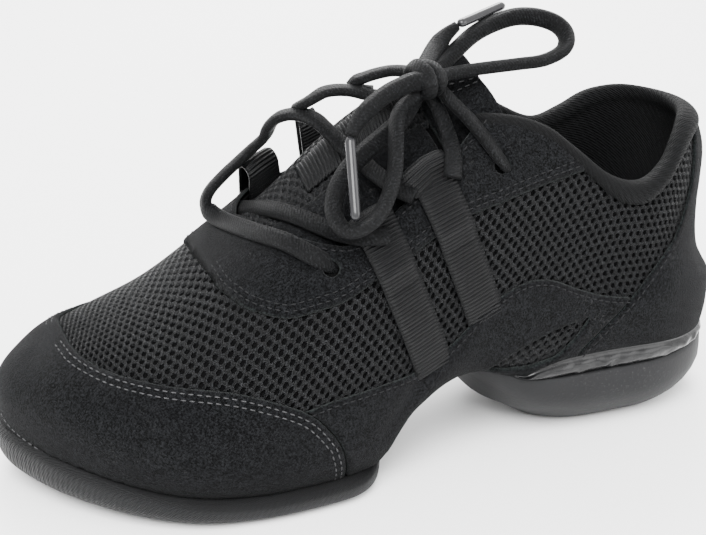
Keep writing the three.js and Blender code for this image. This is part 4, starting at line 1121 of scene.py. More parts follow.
def add_light(scene, name, place, size, power):
    lamp = bpy.data.lights.new(name, "AREA")
    lamp.shape = "SQUARE"
    lamp.size = size
    lamp.energy = power
    made = bpy.data.objects.new(name, lamp)
    made.location = place
    made.rotation_euler = (Vector(LIGHT_AIM) - Vector(place)).to_track_quat("-Z", "Y").to_euler()
    scene.collection.objects.link(made)


class SNEAKER_OT_stage(bpy.types.Operator):
    """Add the camera, the pale floor and soft studio light"""

    bl_idname = "sneaker.stage"
    bl_label = "Stage"

    def execute(self, context):
        add_camera(context.scene)
        add_floor()
        add_sky(context.scene)
        for light in LIGHTS:
            add_light(context.scene, *light)
        return {"FINISHED"}


# Middle lines of the lace, given in millimetres
LOOP_REAR = [
    (73.9, 15.5, 130.4), (67.7, 14.2, 130.8), (60.7, 13.1, 130.9), (52.2, 12.1, 130.9), (42.1, 11, 130.8),
    (31.5, 9.3, 130.8), (23.3, 7.1, 133.1), (20.5, 3.7, 136.9), (22.5, -0.1, 140.4), (28.9, -2.8, 142.7),
    (37, -3.2, 143.3), (46.2, -1.2, 142), (54.2, 1.7, 139.9), (61.5, 5.1, 136.5), (68.2, 8.8, 133.3),
    (73.5, 13, 131.4),
]
LOOP_FRONT = [
    (81.4, 18.4, 126.9), (84.4, 19.9, 124.9), (88.2, 21.5, 123.4), (91.2, 24.7, 120.3), (92.8, 27.9, 115.5),
    (94.2, 31.3, 110.7), (96.1, 34.6, 105.7), (100, 38.5, 99.2), (104.6, 40.9, 94.3), (110.7, 41.3, 91.3),
    (114.6, 38.2, 91.4), (115.9, 33.8, 95.4), (113.6, 29.6, 100.6), (108.6, 25.9, 105.8),
    (101.5, 23.3, 110.5), (94.3, 21.4, 114.5), (88.3, 20.3, 118.5), (84, 18.8, 123.3), (81.1, 17.6, 127.3),
]
END_REAR = [
    (77.7, 14.4, 132.8), (73.6, 9.6, 135.3), (69.3, 5.5, 138), (65.3, 3.7, 140.9), (61.4, 3.6, 143.6),
]
END_FRONT = [
    (81, 21.9, 131.6), (85.1, 22, 131.4), (89.4, 22.5, 130.3), (93.8, 23.4, 129), (98, 24.6, 127.1),
    (101.8, 25.8, 124.9), (104.4, 26.4, 122.5), (106.6, 27, 120), (107.8, 27.6, 118),
]
AGLET_REAR = [
    (60.6, 3.4, 144.1), (39.2, -7.4, 146.7),
]
AGLET_FRONT = [
    (108.3, 27.8, 117.4), (111, 40.3, 94.3),
]
KNOT = np.array([78.5, 17.3, 130.8])
IN_KNOT_REAR = (77.5, 17.2, 132.6)
IN_KNOT_FRONT = (77.6, 17.2, 130.9)


def carried_up(path, start):
    """A direction out of a lace's flat side that turns as little as it can."""
    tangent = np.gradient(path, axis=0)
    tangent /= np.linalg.norm(tangent, axis=1)[:, None]
    up = np.zeros_like(path)
    now = np.asarray(start, float)
    for i, t in enumerate(tangent):
        now = now - t * (now @ t)
        now /= np.linalg.norm(now)
        up[i] = now
    return up


LACE_STEP = 0.9
TIP_WIDTH = 3.4
TIP_THICKNESS = 3.0
TIP_UP = (0.2, 0.3, 1)
KNOT_AXIS = np.array([0.93, 0.3, -0.1])
KNOT_LACE = (5.2, 2.8)
# Columns: shift along the knot's axis, half width and half height of the turn
KNOT_TURNS = [(-2.2, 5.6, 4.6), (2.4, 6.1, 5.0)]
KNOT_CORE = [6.8, 4.6, 3.6]


def lace_tip(name, ends, node):
    """A hard tube on the end of the lace."""
    line = even_steps(np.array(ends, float), LACE_STEP)
    size = np.ones((len(line), 2))
    size[0] = size[-1] = 0.55
    size[1] = size[-2] = 0.9
    rings = sweep_rings(line, TIP_UP, oval(TIP_WIDTH, TIP_THICKNESS, 16, 2.0), size)
    return settle(loft_piece(name, rings, finish_for("aglet")), [node])


def bow_cord(name, points, up, nodes, looks):
    """A loop that runs through the knot and out to its end."""
    path = smooth_line(points, LACE_STEP)
    size = np.ones((len(path), 2))
    size[:, 0] = 0.5 + 0.5 * np.clip(np.arange(len(path))[::-1] / 9.0, 0, 1)
    profile = oval(looks.lace_width / MM, looks.lace_thickness / MM, 18)
    rings = sweep_rings(path, carried_up(path, up), profile, size)
    made = settle(loft_piece(name, rings, finish_for("lace")), nodes)


def knot_turns():
    """The turns of lace round the knot."""
    angle = np.linspace(0, 2 * math.pi, 60, endpoint=False)
    axis = KNOT_AXIS / np.linalg.norm(KNOT_AXIS)
    side = np.cross([0, 0, 1.0], axis)
    side /= np.linalg.norm(side)
    high = np.cross(axis, side)
    profile = oval(*KNOT_LACE, 14)
    for turn, (shift, wide, tall) in enumerate(KNOT_TURNS):
        ring = KNOT + axis * shift + np.outer(np.cos(angle), side) * wide + np.outer(np.sin(angle), high) * tall
        ring = ring + np.outer(np.sin(angle + turn), axis)
        tangent = np.roll(ring, -1, 0) - np.roll(ring, 1, 0)
        tangent /= np.linalg.norm(tangent, axis=1)[:, None]
        across = np.cross(tangent, ring - KNOT)
        across /= np.linalg.norm(across, axis=1)[:, None]
        normal = np.cross(across, tangent)
        rings = ring[:, None] + across[:, None] * profile[None, :, :1] + normal[:, None] * profile[None, :, 1:]
        made = loft_piece(f"lace_knot_turn_{turn + 1}", rings, finish_for("lace"), closed=True)
        settle(made, ["lace_knot"] if turn == 0 else [])


def knot_core():
    """The filled middle of the knot."""
    core = bmesh.new()
    bmesh.ops.create_uvsphere(core, u_segments=24, v_segments=14, radius=1.0)
    points = np.array([vert.co for vert in core.verts]) * KNOT_CORE + KNOT
    faces = [[vert.index for vert in face.verts] for face in core.faces]
    core.free()
    settle(mesh_object("lace_knot_core", points, faces, finish_for("lace"), uv=points[:, :2]))


class SNEAKER_OT_bow(bpy.types.Operator):
    """Add the bow: two cords with their knot and tips"""

    bl_idname = "sneaker.bow"
    bl_label = "Bow"

    def execute(self, context):
        looks = context.scene.sneaker_looks
        tip_rear = lace_tip("aglet_tip_rear", AGLET_REAR, "aglet_rear")
        tip_front = lace_tip("aglet_tip_front", AGLET_FRONT, "aglet_front")
        bow_cord("lace_bow_rear", [*LOOP_REAR, IN_KNOT_REAR, *END_FRONT], (0, -0.3, 1),
                 ["lace_loop_rear", "lace_end_front"], looks)
        bow_cord("lace_bow_front", [*LOOP_FRONT, IN_KNOT_FRONT, *END_REAR], (0.3, -0.6, 1),
                 ["lace_loop_front", "lace_end_rear"], looks)
        knot_turns()
        knot_core()
        return {"FINISHED"}


def rounded_plan(back_share, back_power, front_share, front_power):
    def round_(u):
        rear = closing(np.maximum(0, 1 - u / back_share), back_power)
        return np.minimum(rear, closing(np.maximum(0, 1 - (1 - u) / front_share), front_power))

    return round_


FORE_PLAN = rounded_plan(0.2, 3.2, 0.52, 2.1)
HEEL_PLAN = rounded_plan(0.42, 2, 0.45, 2.6)


def sole_ring(start, end, grow, plan, height, count=72):
    """A closed outline of a sole at one level, as points."""
    a = start * SHOE_LENGTH - HEEL_TREAD - (grow if start == 0 else 0)
    b = end * SHOE_LENGTH - HEEL_TREAD + (grow if end == 1 else 0)
    u = (1 - np.cos(np.linspace(0, 1, count + 1) * math.pi)) / 2
    x = a + (b - a) * u
    s = np.clip((x + HEEL_TREAD) / SHOE_LENGTH, 0, 1)
    centre = ridge_share(s) * BALL_WIDTH
    half_out = ((lateral_share(s) - ridge_share(s)) * BALL_WIDTH + grow) * plan(u)
    half_in = ((medial_share(s) + ridge_share(s)) * BALL_WIDTH + grow) * plan(u)
    z = height(s)
    outer = np.stack([x, centre + half_out, z], -1)
    inner = np.stack([x, centre - half_in, z], -1)[1:-1][::-1]
    return np.vstack([outer, inner])


def sole_piece(name, levels, material, count=72):
    """A sole from outlines stacked from the floor up, with flat-topped strips as caps."""
    rings = np.array([sole_ring(*level, count) for level in levels])
    rows, columns = rings.shape[:2]
    faces = grid_faces(rows, columns, wrap_columns=True)
    for base, flip in ((0, True), ((rows - 1) * columns, False)):
        for i in range(count):
            other = [columns - i if 0 < i < count else i, columns - i - 1 if i + 1 < count else i + 1]
            quad = [base + i, base + i + 1, base + other[1], base + other[0]]
            unique = list(dict.fromkeys(quad))
            faces.append(unique if flip else unique[::-1])
    middle = rings[rows // 2]
    around = np.concatenate([[0], np.cumsum(np.linalg.norm(np.diff(middle, axis=0), axis=1))])
    rise = np.concatenate([[0], np.cumsum(np.linalg.norm(np.diff(rings[:, columns // 4], axis=0), axis=1))])
    uv = np.stack([np.tile(around, rows), np.repeat(rise, columns)], -1)
    return mesh_object(name, rings.reshape(-1, 3), faces, material, uv=uv, fix=True)


def interpolated(levels, count):
    """Smooth steps between rows of grow, lift and rise."""
    table = np.array(levels, float)
    rows = np.arange(len(table), dtype=float)
    at = np.linspace(0, len(table) - 1, count)
    return np.stack([through(rows, table[:, i])(at) for i in range(table.shape[1])], -1)


FORE_START = 0.532
# Columns: how far the outline grows, share of the lift off the floor, share of the toe's rise
FORE_EDGE = [
    (-5, 0, 0.4), (-1.6, 0.12, 0.45), (0.9, 0.4, 0.6), (1.6, 0.68, 0.8), (1.2, 0.88, 0.92), (-0.6, 1, 1),
]
# Columns: share where the heel ends, how far its outline grows, height over the floor
HEEL_LOWER = [
    (0.295, -13.5, 0), (0.3, -12.0, 0.2), (0.305, -10.2, 0.9), (0.312, -8.6, 1.9), (0.322, -6.2, 3.9),
    (0.335, -4.0, 6), (0.35, -1.9, 8.6), (0.37, -0.1, 11.5),
]
# The same columns, but the last is the depth under the sole's top
HEEL_UPPER = [(0.39, 1.2, 9.5), (0.41, 1.5, 6), (0.43, 1.5, 2.2), (0.438, 1.1, 0.6), (0.44, 0.5, 0)]


def sole_top(s):
    return underside(s) - 0.5


def forefoot_sole():
    def height(lift, rise):
        return lambda s: lift * (sole_top(s) - toe_rise(s)) + toe_rise(s) * rise

    levels = [(FORE_START, 1, grow + 1.6, FORE_PLAN, height(lift, rise))
              for grow, lift, rise in interpolated(FORE_EDGE, 26)]
    settle(sole_piece("forefoot_sole_ribbed", levels, finish_for("ribbed"), 110), ["forefoot_sole"])


def heel_block():
    def over_floor(value):
        return lambda s: np.minimum(value, sole_top(s) * value / HEEL_LIFT)

    def under_top(value):
        return lambda s: sole_top(s) - value

    levels = [(0, end, grow, HEEL_PLAN, over_floor(value)) for end, grow, value in HEEL_LOWER]
    levels += [(0, end, grow, HEEL_PLAN, under_top(value)) for end, grow, value in HEEL_UPPER]
    settle(sole_piece("heel_block_matte", levels, finish_for("rubber"), 90), ["heel_sole"])


BAND_END = 0.35
BAND_WAVES = 9
BAND_SEED = 7
BAND_UPRIGHT = 0.55
BAND_ROWS = 12


def band_section(s, side, waves):
    """One section through the band, from its low edge up its face and down inside."""
    u = np.linspace(0, 1, BAND_ROWS)
    here = np.full(BAND_ROWS, s)
    bottom = float(underside(s)) - 0.3
    top = max(bottom + 0.5, float(band_share(s)) * INSTEP_HEIGHT)
    z = bottom + (top - bottom) * u
    fade = float(closing(max(0.0, 1 - (BAND_END + 0.002 - s) / 0.04), 2))
    q = float(q_of(s)) * side
    crinkle = sum(
        0.16 * math.sin(q * (0.21 + 0.16 * k) + waves[k]) * np.sin(u * math.pi * (1 + k % 3) + waves[-k])
        for k in range(6)
    )
    swell = 1.7 + 0.5 * np.sin(u * math.pi)
    grow = 0.2 + (swell + crinkle) * np.sin(np.clip(u * 1.15 + 0.12, 0, 1) * math.pi) ** 0.35 * fade
    cut = section(here, 0.0)
    half = cut["lateral"] if side > 0 else cut["medial"]
    upright = cut["centre"] + side * (half + grow * float(plan_round(s)))
    outer = on_last(here, z, side, grow)
    outer[:, 1] = (1 - BAND_UPRIGHT) * outer[:, 1] + BAND_UPRIGHT * upright
    inner = on_last(here, z, side, -0.6)
    return np.vstack([outer, inner[::-1]])


def heel_band():
    shares = BAND_END * (1 - np.cos(np.linspace(0, 1, 110) * math.pi / 2))
    waves = np.random.default_rng(BAND_SEED).uniform(0, 2 * math.pi, BAND_WAVES)
    stations = [(s, 1) for s in shares[::-1]] + [(s, -1) for s in shares[1:]]
    rings = np.array([band_section(s, side, waves) for s, side in stations])
    settle(loft_piece("heel_band_gloss", rings, finish_for("gloss")), ["heel_rand"])


class SNEAKER_OT_soles(bpy.types.Operator):
    """Add the forefoot sole, the heel and the glossy band"""

    bl_idname = "sneaker.soles"
    bl_label = "Soles"

    def execute(self, context):
        forefoot_sole()
        heel_block()
        heel_band()
        return {"FINISHED"}


def visible_mesh(points):
    """Where the mesh isn't under suede."""
    covered = inside(points, REGIONS["guard"]) | inside(points, REGIONS["eyestay"])
    covered |= in_side(points, "counter") | (in_side(points, "panel") & ~in_side(points, "window"))
    return ~covered


def hole_lattice(centres, pitch):
    """Points and faces of a mesh of pits round the given centres; heights are relative to the cloth's face."""
    corner_angle = np.radians(np.arange(6) * 60 + 30)
    rings = [(pitch / math.sqrt(3), -0.2), (pitch * 0.44, 0.16), (pitch * 0.36, -0.1), (pitch * 0.3, -1.0)]
    points, heights, faces, known = [], [], [], {}
    for cx, cy in centres:
        index = []
        for r, (radius, height) in enumerate(rings):
            row = []
            for angle in corner_angle:
                x, y = cx + radius * math.cos(angle), cy + radius * math.sin(angle)
                key = (round(x * 4), round(y * 4)) if r == 0 else None
                if key is not None and key in known:
                    row.append(known[key])
                    continue
                row.append(len(points))
                points.append((x, y))
                heights.append(height)
                if key is not None:
                    known[key] = row[-1]
            index.append(row)
        for outer, inner in zip(index, index[1:]):
            for k in range(6):
                m = (k + 1) % 6
                faces.append((outer[k], outer[m], inner[m], inner[k]))
        faces.append(tuple(index[-1]))
    return np.array(points), np.array(heights), faces


def honeycomb(start, end, rows, pitch):
    """Centres of the mesh's holes, row by row."""
    row_step = pitch * math.sqrt(3) / 2
    centres = []
    for r in rows:
        along = np.arange(start, end, pitch) + (r % 2) * pitch / 2
        centres.append(np.stack([along, np.full(len(along), r * row_step)], -1))
    return np.vstack(centres)


class SNEAKER_OT_upper(bpy.types.Operator):
    """Add the spacer mesh and its backing"""

    bl_idname = "sneaker.upper"
    bl_label = "Mesh upper"

    def execute(self, context):
        pitch = context.scene.sneaker_looks.mesh_pitch / MM

        def member(points):
            return ~open_above(points) & on_wall(points) & (points[:, 0] > 0) & (points[:, 0] < Q_END)

        lines = [LINES["throat"][1], LINES["throat"][-1], LINES["collar"][1], LINES["collar"][-1],
                 feather(1, 0, Q_END), feather(-1, 0, Q_END), end_line(0.0), end_line(Q_END)]
        flat, faces = cut_patch(lines, np.zeros((0, 2)), member, (0, -160), (Q_END, 160), 3.4)
        flat, faces = weld(flat, faces, upper_map)
        outer = upper_map(flat, np.full(len(flat), -0.75))
        inner = upper_map(flat, np.full(len(flat), -2.0))
        normal = np.cross(outer[faces[:, 1]] - outer[faces[:, 0]], outer[faces[:, 2]] - outer[faces[:, 0]])
        if (normal * (outer[faces].mean(1) - inner[faces].mean(1))).sum() < 0:
            faces = faces[:, ::-1]
        rim = border(faces)
        count = len(flat)
        sides = np.stack([rim[:, 1], rim[:, 0], rim[:, 0] + count, rim[:, 1] + count], -1)
        all_faces = [*faces.tolist(), *(faces[:, ::-1] + count).tolist(), *sides.tolist()]
        made = mesh_object("upper_backing", np.vstack([outer, inner]), all_faces, finish_for("backing"),
                           uv=np.vstack([flat, flat]))
        settle(made, ["upper"])

        centres = honeycomb(0, Q_END, np.arange(-55, 56), pitch)
        centres = centres[(centres[:, 0] > 14) & (centres[:, 0] < Q_END - 6)]
        near = np.zeros(len(centres), bool)
        for dx, dy in ((0, 0), (5, 0), (-5, 0), (0, 5), (0, -5)):
            near |= visible_mesh(centres + [dx, dy])
        # The middle row lies between the two sides' openings
        off_middle = centres + [0.0, 0.05]
        centres = centres[~open_above(off_middle) & on_wall(centres) & near]
        points, heights, faces = hole_lattice(centres, pitch)
        made = mesh_object("spacer_mesh_outer", upper_map(points, heights), faces, finish_for("mesh"), uv=points)
        settle(made)
        return {"FINISHED"}


EYELET_RADIUS = 2.5


def eyelet_loops(count=20):
    """Round outlines of the eyelets on the flat map, which stretches what it shows."""
    loops = []
    nudge = 0.5
    flat_on = np.zeros(1)
    for side, at, up in EYELETS:
        z = min(up * INSTEP_HEIGHT, float(top_share(at)) * INSTEP_HEIGHT - 2)
        s = np.array([at])
        cut = section(s, 0.0)
        rise = np.clip((z - cut["widest"]) / (cut["top"] - cut["widest"]), 0, 1)
        centre = to_flat(s, side * (1 - np.arcsin(rise ** (FULLNESS / 2)) / (math.pi / 2)))
        here = upper_map(centre, flat_on)
        along_q = (upper_map(centre + [nudge, 0], flat_on) - here)[0] / nudge
        along_r = (upper_map(centre + [0, nudge], flat_on) - here)[0] / nudge
        forward = along_q / np.linalg.norm(along_q)
        normal = np.cross(along_q, along_r)
        upward = np.cross(normal / np.linalg.norm(normal), forward)
        angle = np.linspace(0, 2 * math.pi, count + 1)
        ring = EYELET_RADIUS * (np.outer(np.cos(angle), forward) + np.outer(np.sin(angle), upward))
        loops.append(centre + ring @ np.linalg.pinv(np.stack([along_q, along_r], -1)).T)
    return loops


class SNEAKER_OT_suede(bpy.types.Operator):
    """Add the suede pieces"""

    bl_idname = "sneaker.suede"
    bl_label = "Suede overlays"

    def execute(self, context):
        suede = finish_for("suede")
        holes = eyelet_loops()

        def piece(name, lines, member, low, high, node, puff=None):
            dots = dots_near(lines, (0.35, 0.9), member, upper_map)
            flat, faces = cut_patch(lines, dots, member, low, high, 2.4)
            made = sheet_piece(name, flat, faces, upper_map, SUEDE_BASE, SUEDE, SUEDE_ROUND, suede, puff)
            settle(made, [node])

        def in_guard(points):
            return inside(points, REGIONS["guard"]) & (points[:, 0] < Q_END) & on_wall(points)

        guard_lines = [LINES["guard"][1], LINES["guard"][-1],
                       np.vstack([LINES["guard"][1][-1:], [[LINES["guard_top"], 0]], LINES["guard"][-1][-1:]]),
                       feather(1, LINES["guard"][1][0, 0], Q_END), feather(-1, LINES["guard"][-1][0, 0], Q_END),
                       end_line(Q_END)]
        piece("toe_guard_suede", guard_lines, in_guard, (150, -120), (Q_END, 120), "toe_guard")

        def in_counter(points):
            good = in_side(points, "counter") & ~in_side(points, "collar") & ~in_side(points, "band")
            return good & (points[:, 0] > 0) & on_wall(points)

        counter_lines = [LINES[name][side] for name in ("counter", "collar", "band") for side in (1, -1)]
        counter_lines.append(end_line(0.0))
        piece("heel_counter_suede", counter_lines, in_counter, (0, -160), (110, 160),
              "heel_counter", puff=lambda flat, away: 0.5 * np.clip((away - 1) / 8, 0, 1))

        for side, word in ((1, "lateral"), (-1, "medial")):

            def in_panel(points, side=side):
                good = inside(points, REGIONS["panel", side]) & ~inside(points, REGIONS["window", side])
                good &= ~inside(points, REGIONS["guard"]) & ~inside(points, REGIONS["counter", side])
                good &= ~inside(points, REGIONS["band", side])
                return good & (points[:, 1] * side > 0) & on_wall(points)

            lines = [LINES[name][side] for name in ("guard", "counter", "panel", "window", "band")]
            lines.append(feather(side, 20, Q_END - 20))
            low = (20, min(0, side * 160))
            high = (Q_END - 20, max(0, side * 160))
            piece(f"side_panel_suede_{word}", lines, in_panel, low, high, f"side_panel_{word}")

        def in_stay(points):
            good = inside(points, REGIONS["eyestay"]) & ~open_above(points)
            for hole in holes:
                good &= ~inside(points, hole)
            good &= points[:, 0] > float(q_of(0.2))
            return good

        stay_lines = [LINES["eyestay"][1], LINES["eyestay"][-1], LINES["throat"][1], LINES["throat"][-1],
                      LINES["collar"][1], LINES["collar"][-1], *holes]
        stay_lines.append(np.vstack([LINES["eyestay"][1][:1], [[LINES["stay_top"], 0]], LINES["eyestay"][-1][:1]]))
        piece("eyestay_suede", stay_lines, in_stay, (40, -130), (Q_END - 40, 130), "eyestay")
        return {"FINISHED"}


def feather(side, start, end):
    """The line where the upper's wall turns under the foot."""
    count = max(2, int((end - start) / 2.0))
    return to_flat(s_of(np.linspace(start, end, count)), np.full(count, side * 2.0))


def end_line(q):
    """The seam at the back of the heel or at the tip of the toe, where both sides meet."""
    at = s_of(q)
    low, high = to_flat(at, -2.0)[1], to_flat(at, 2.0)[1]
    return np.stack([np.full(121, q), np.linspace(low, high, 121)], -1)


LINING_END = 64.0
ROLL_POINTS = 22


def collar_ring(s, side):
    """The collar's section: round the roll, down the lining and back up against the upper."""
    radius = float(roll_radius(s))
    size = radius / ROLL_RADIUS
    centre = float(collar_at(s, side)) - 1.02 * radius
    swell = 1 + 0.05 * math.sin(float(q_of(s)) * 0.11 * side + 1)
    ring = [(radius * swell * math.cos(a) - 1.6 * size, centre + 1.02 * radius * math.sin(a))
            for a in np.radians(np.linspace(-50, 205, ROLL_POINTS))]
    last = ring[-1][1]
    floor = LINING_END + 18.0 * max(0.0, (s - 0.34) / 0.06) ** 2
    for share in np.linspace(0, 1, 16)[1:]:
        grow = -2.3 - 3.3 * size - 0.9 * math.sin(share * math.pi) + 0.5 * share
        ring.append((grow, last * (1 - share) + floor * share))
    ring.extend((-2.25, z) for z in np.linspace(floor, centre - 0.7 * radius, 10))
    ring = np.array(ring)
    heart = ring[:ROLL_POINTS].mean(0)
    full = min(1.0, (COLLAR_END - s) * SHOE_LENGTH / 4)
    ring = heart + (ring - heart) * max(0.06, math.sqrt(1 - (1 - full) ** 2))
    return on_last(np.full(len(ring), s), ring[:, 1], side, ring[:, 0])


class SNEAKER_OT_collar(bpy.types.Operator):
    """Add the padded knit collar and its lining"""

    bl_idname = "sneaker.collar"
    bl_label = "Collar"

    def execute(self, context):
        shares = COLLAR_END * (1 - np.cos(np.linspace(0, 1, 70) * math.pi / 2))
        shares = np.unique(np.concatenate([shares, np.linspace(COLLAR_END - 0.018, COLLAR_END, 9)]))
        stations = [(s, 1) for s in shares[::-1]] + [(s, -1) for s in shares[1:]]
        rings = np.array([collar_ring(s, side) for s, side in stations])
        made = loft_piece("collar_knit_pad", rings, finish_for("knit"))
        settle(made, ["collar"])
        return {"FINISHED"}


# Columns: share from the front to the top, depth of the middle, how far the edge is tucked in, width
TONGUE = np.array([
    [0, 3.4, 0, 0.55], [0.12, 3.2, 0, 0.8], [0.25, 2.4, 0, 0.97], [0.4, -0.6, 0, 1], [0.6, -2.4, 0.3, 0.93],
    [0.78, -1.2, 1, 0.79], [1, 2.4, 1, 0.68],
])
tongue_sunk, tongue_tuck, tongue_span = (through(TONGUE[:, 0], TONGUE[:, i]) for i in (1, 2, 3))
TONGUE_FRONT = 0.705
TONGUE_TOP = 0.378
TONGUE_HALF = 41.0
UNDER_LOOPS = 2 + 1.2 + 1.2 + 1.5
UNDER_COLLAR = 2.3 + 3.5 + 0.9


def tongue_point(share, q, inner):
    """A point of the tongue: share from its front to its top, q from -1 to 1 across it."""
    share, q, inner = np.broadcast_arrays(np.asarray(share, float), np.asarray(q, float), np.asarray(inner, float))
    s = TONGUE_FRONT + (TONGUE_TOP - 0.05 * q * q - TONGUE_FRONT) * share
    edge = UNDER_LOOPS + (UNDER_COLLAR - UNDER_LOOPS) * tongue_tuck(share)
    middle = tongue_sunk(share)
    sink = middle + (edge - middle) * np.minimum(1, np.abs(q) / 0.36) ** 1.6
    cut = section(s, -(sink + inner))
    half = np.where(q > 0, cut["lateral"], cut["medial"])
    reach = np.abs(q) * tongue_span(share) * TONGUE_HALF
    return over_last(s, np.minimum(0.985, reach / half) * np.sign(q), -(sink + inner))


TONGUE_LENGTH = 96.0


def tongue_map(flat, height):
    return tongue_point(flat[:, 0] / TONGUE_LENGTH, flat[:, 1] / TONGUE_HALF, -height)


TONGUE_PARTS = 41
FLAP = [(74, -37), (74, 37), (93.5, 39), (95.5, 30), (95.5, -30), (93.5, -39)]
BORDER = [(2, 15), (72, 15), (73, 38), (40, 40), (2, 40)]
KEEPER_START, KEEPER_END = 0.3, 0.7
KEEPER_WIDTH, KEEPER_THICKNESS = 12.0, 1.1


def tongue_body():
    """The tongue's padded middle layer, 3 mm thick with a rounded rim."""
    q = np.linspace(-1, 1, TONGUE_PARTS)
    rim = (1 - np.sqrt(np.clip(1 - np.abs(q) ** 10, 0, 1))) * 1.5
    rings = [np.vstack([tongue_point(share, q, rim), tongue_point(share, q[::-1], 3.0 - rim[::-1])])
             for share in np.linspace(0, 1, 60)]
    settle(loft_piece("tongue_body", np.array(rings), finish_for("backing")), ["tongue"])


def tongue_net(pitch):
    """The mesh down the tongue's middle."""
    centres = honeycomb(6, 80, np.arange(-8, 9), pitch)
    centres = centres[np.abs(centres[:, 1]) < 17.5]
    points, heights, faces = hole_lattice(centres, pitch)
    made = mesh_object("tongue_mesh", tongue_map(points, heights + 1.0), faces, finish_for("mesh"), uv=points)
    settle(made)


def tongue_strip(name, corners, low, high):
    """A piece of suede on the tongue, from its corners on the tongue's map."""
    edge = even_steps(np.array([*corners, corners[0]], float), 1.4)

    def member(points):
        return inside(points, edge)

    dots = dots_near([edge], (0.4, 1.0), member, tongue_map)
    flat, faces = cut_patch([edge], dots, member, low, high, 2.6)
    settle(sheet_piece(name, flat, faces, tongue_map, 0.15, 1.3, 1.0, finish_for("suede")))


def tongue_keeper(rib):
    """The ribbed webbing along the tongue."""
    profile = oval(KEEPER_WIDTH, KEEPER_THICKNESS, 14, 3.2)
    length = 0.4 * TONGUE_LENGTH
    steps = np.linspace(KEEPER_START, KEEPER_END, 300)
    rings = []
    for i, share in enumerate(steps):
        lift = 0.28 * math.sin(2 * math.pi * (i / len(steps)) * length / rib)
        height = 1.6 + profile[:, 1] + np.where(profile[:, 1] > 0, lift, 0)
        rings.append(tongue_point(share, 0.17 + profile[:, 0] / TONGUE_HALF, -height))
    settle(loft_piece("tongue_keeper_ribbed", np.array(rings), finish_for("webbing")), ["tongue_keeper"])


class SNEAKER_OT_tongue(bpy.types.Operator):
    """Add the tongue, its suede borders and the ribbed keeper"""

    bl_idname = "sneaker.tongue"
    bl_label = "Tongue"

    def execute(self, context):
        looks = context.scene.sneaker_looks
        tongue_body()
        tongue_net(looks.mesh_pitch / MM * 0.95)
        tongue_strip("tongue_flap_suede", FLAP, (70, -42), (97, 42))
        for side, word in ((1, "lateral"), (-1, "medial")):
            corners = [(along, side * across) for along, across in BORDER]
            near, far = sorted((side * 13, side * 42))
            tongue_strip(f"tongue_border_{word}", corners, (0, near), (75, far))
        tongue_keeper(looks.rib_pitch / MM)
        return {"FINISHED"}


# Columns: name, share and height of the low end, share of the top, then the inner side's shift and rise
LOOPS = [("front", 0.481, 0.33, 0.549, 0.082, 10.0), ("rear", 0.404, 0.435, 0.47, 0.066, 17.0)]
WEBBING_WIDTH = 14.0
OUTER_LEG = 0.6 + SUEDE + 0.6 + 0.6
INNER_LEG = -(2 + 0.6 + 0.6)
OUTER_STAND = 5.0
eyestay_low = through(EYESTAY_EDGE[::-1, 0], EYESTAY_EDGE[::-1, 1])


def throat_height(s, side):
    cut = section(s, 0.0)
    share = throat_lateral(s) if side > 0 else throat_medial(s)
    half = cut["lateral"] if side > 0 else cut["medial"]
    out = np.clip(share * THROAT_WIDTH / half, 0, 0.999)
    return cut["widest"] + (cut["top"] - cut["widest"]) * closing(out, FULLNESS)


STRAP_EDGE = np.array([0.25, 0.5, 0.55, 0.55, 0.55, 0.55, 0.55, 0.5, 0.25])
RIB_HEIGHT = 0.34


def strap_leg(low, top, side):
    """The strap's outer leg, up the upper to the throat, as rows of points across it."""
    edge = float(throat_height(np.array([top]), side)[0])
    tilt = math.atan2(1, (edge - low[1]) / ((top - low[0]) * SHOE_LENGTH))
    spread = np.linspace(-1, 1, len(STRAP_EDGE)) * WEBBING_WIDTH / 2
    rows = []
    for t in np.linspace(0, 1, 90):
        s = low[0] + (top - low[0]) * t + spread * math.cos(tilt) / SHOE_LENGTH
        z = low[1] + (edge - low[1]) * t - spread * math.sin(tilt)
        over = np.clip((z - (eyestay_low(s) * INSTEP_HEIGHT - 7)) / 7, 0, 1)
        under = np.clip((low[1] + 6 - z) / 6, 0, 1)
        grow = 0.55 - 0.4 * under + over * (SUEDE + 0.4) + 0.55
        rows.append(on_last(s, np.minimum(z, throat_height(s, side)), side, grow))
    return np.array(rows)


def strap_fold(leg, top, side, stand):
    """The rest of the strap: up to the lace, round it, and down inside."""
    last = leg[-1]
    tangent = last - leg[-6]
    tangent /= np.linalg.norm(tangent, axis=1)[:, None]
    along = last[-1] - last[0]
    along /= np.linalg.norm(along)
    normal = np.cross(tangent, along)
    normal /= np.linalg.norm(normal, axis=1)[:, None]
    middle = surface(np.array([top]), np.array([side * 0.5]), 0.0)[0]
    if (normal.mean(0) @ (last.mean(0) - middle + [0, 0, 5])) < 0:
        normal = -normal
    rise = np.array([0, 0, 1.3 if side < 0 else 0.25])
    rows = []
    for reach in np.linspace(0.6, stand, 9):
        lean = tangent + rise * min(1.0, reach / 4)
        lean /= np.linalg.norm(lean, axis=1)[:, None]
        rows.append((rows[-1] if rows else last) + lean * (stand - 0.6) / 8)
    tip = rows[-1]
    inward = np.cross(along, lean)
    inward = inward * np.sign((inward * -normal).sum(1))[:, None]
    radius = (OUTER_LEG - INNER_LEG) / 2
    for angle in np.linspace(0, math.pi, 16)[1:]:
        rows.append(tip + lean * radius * math.sin(angle) + inward * radius * (1 - math.cos(angle)))
    for reach in np.linspace(0.8, stand + 4, 12):
        rows.append(tip - lean * reach + inward * 2 * radius)
    return np.array(rows)


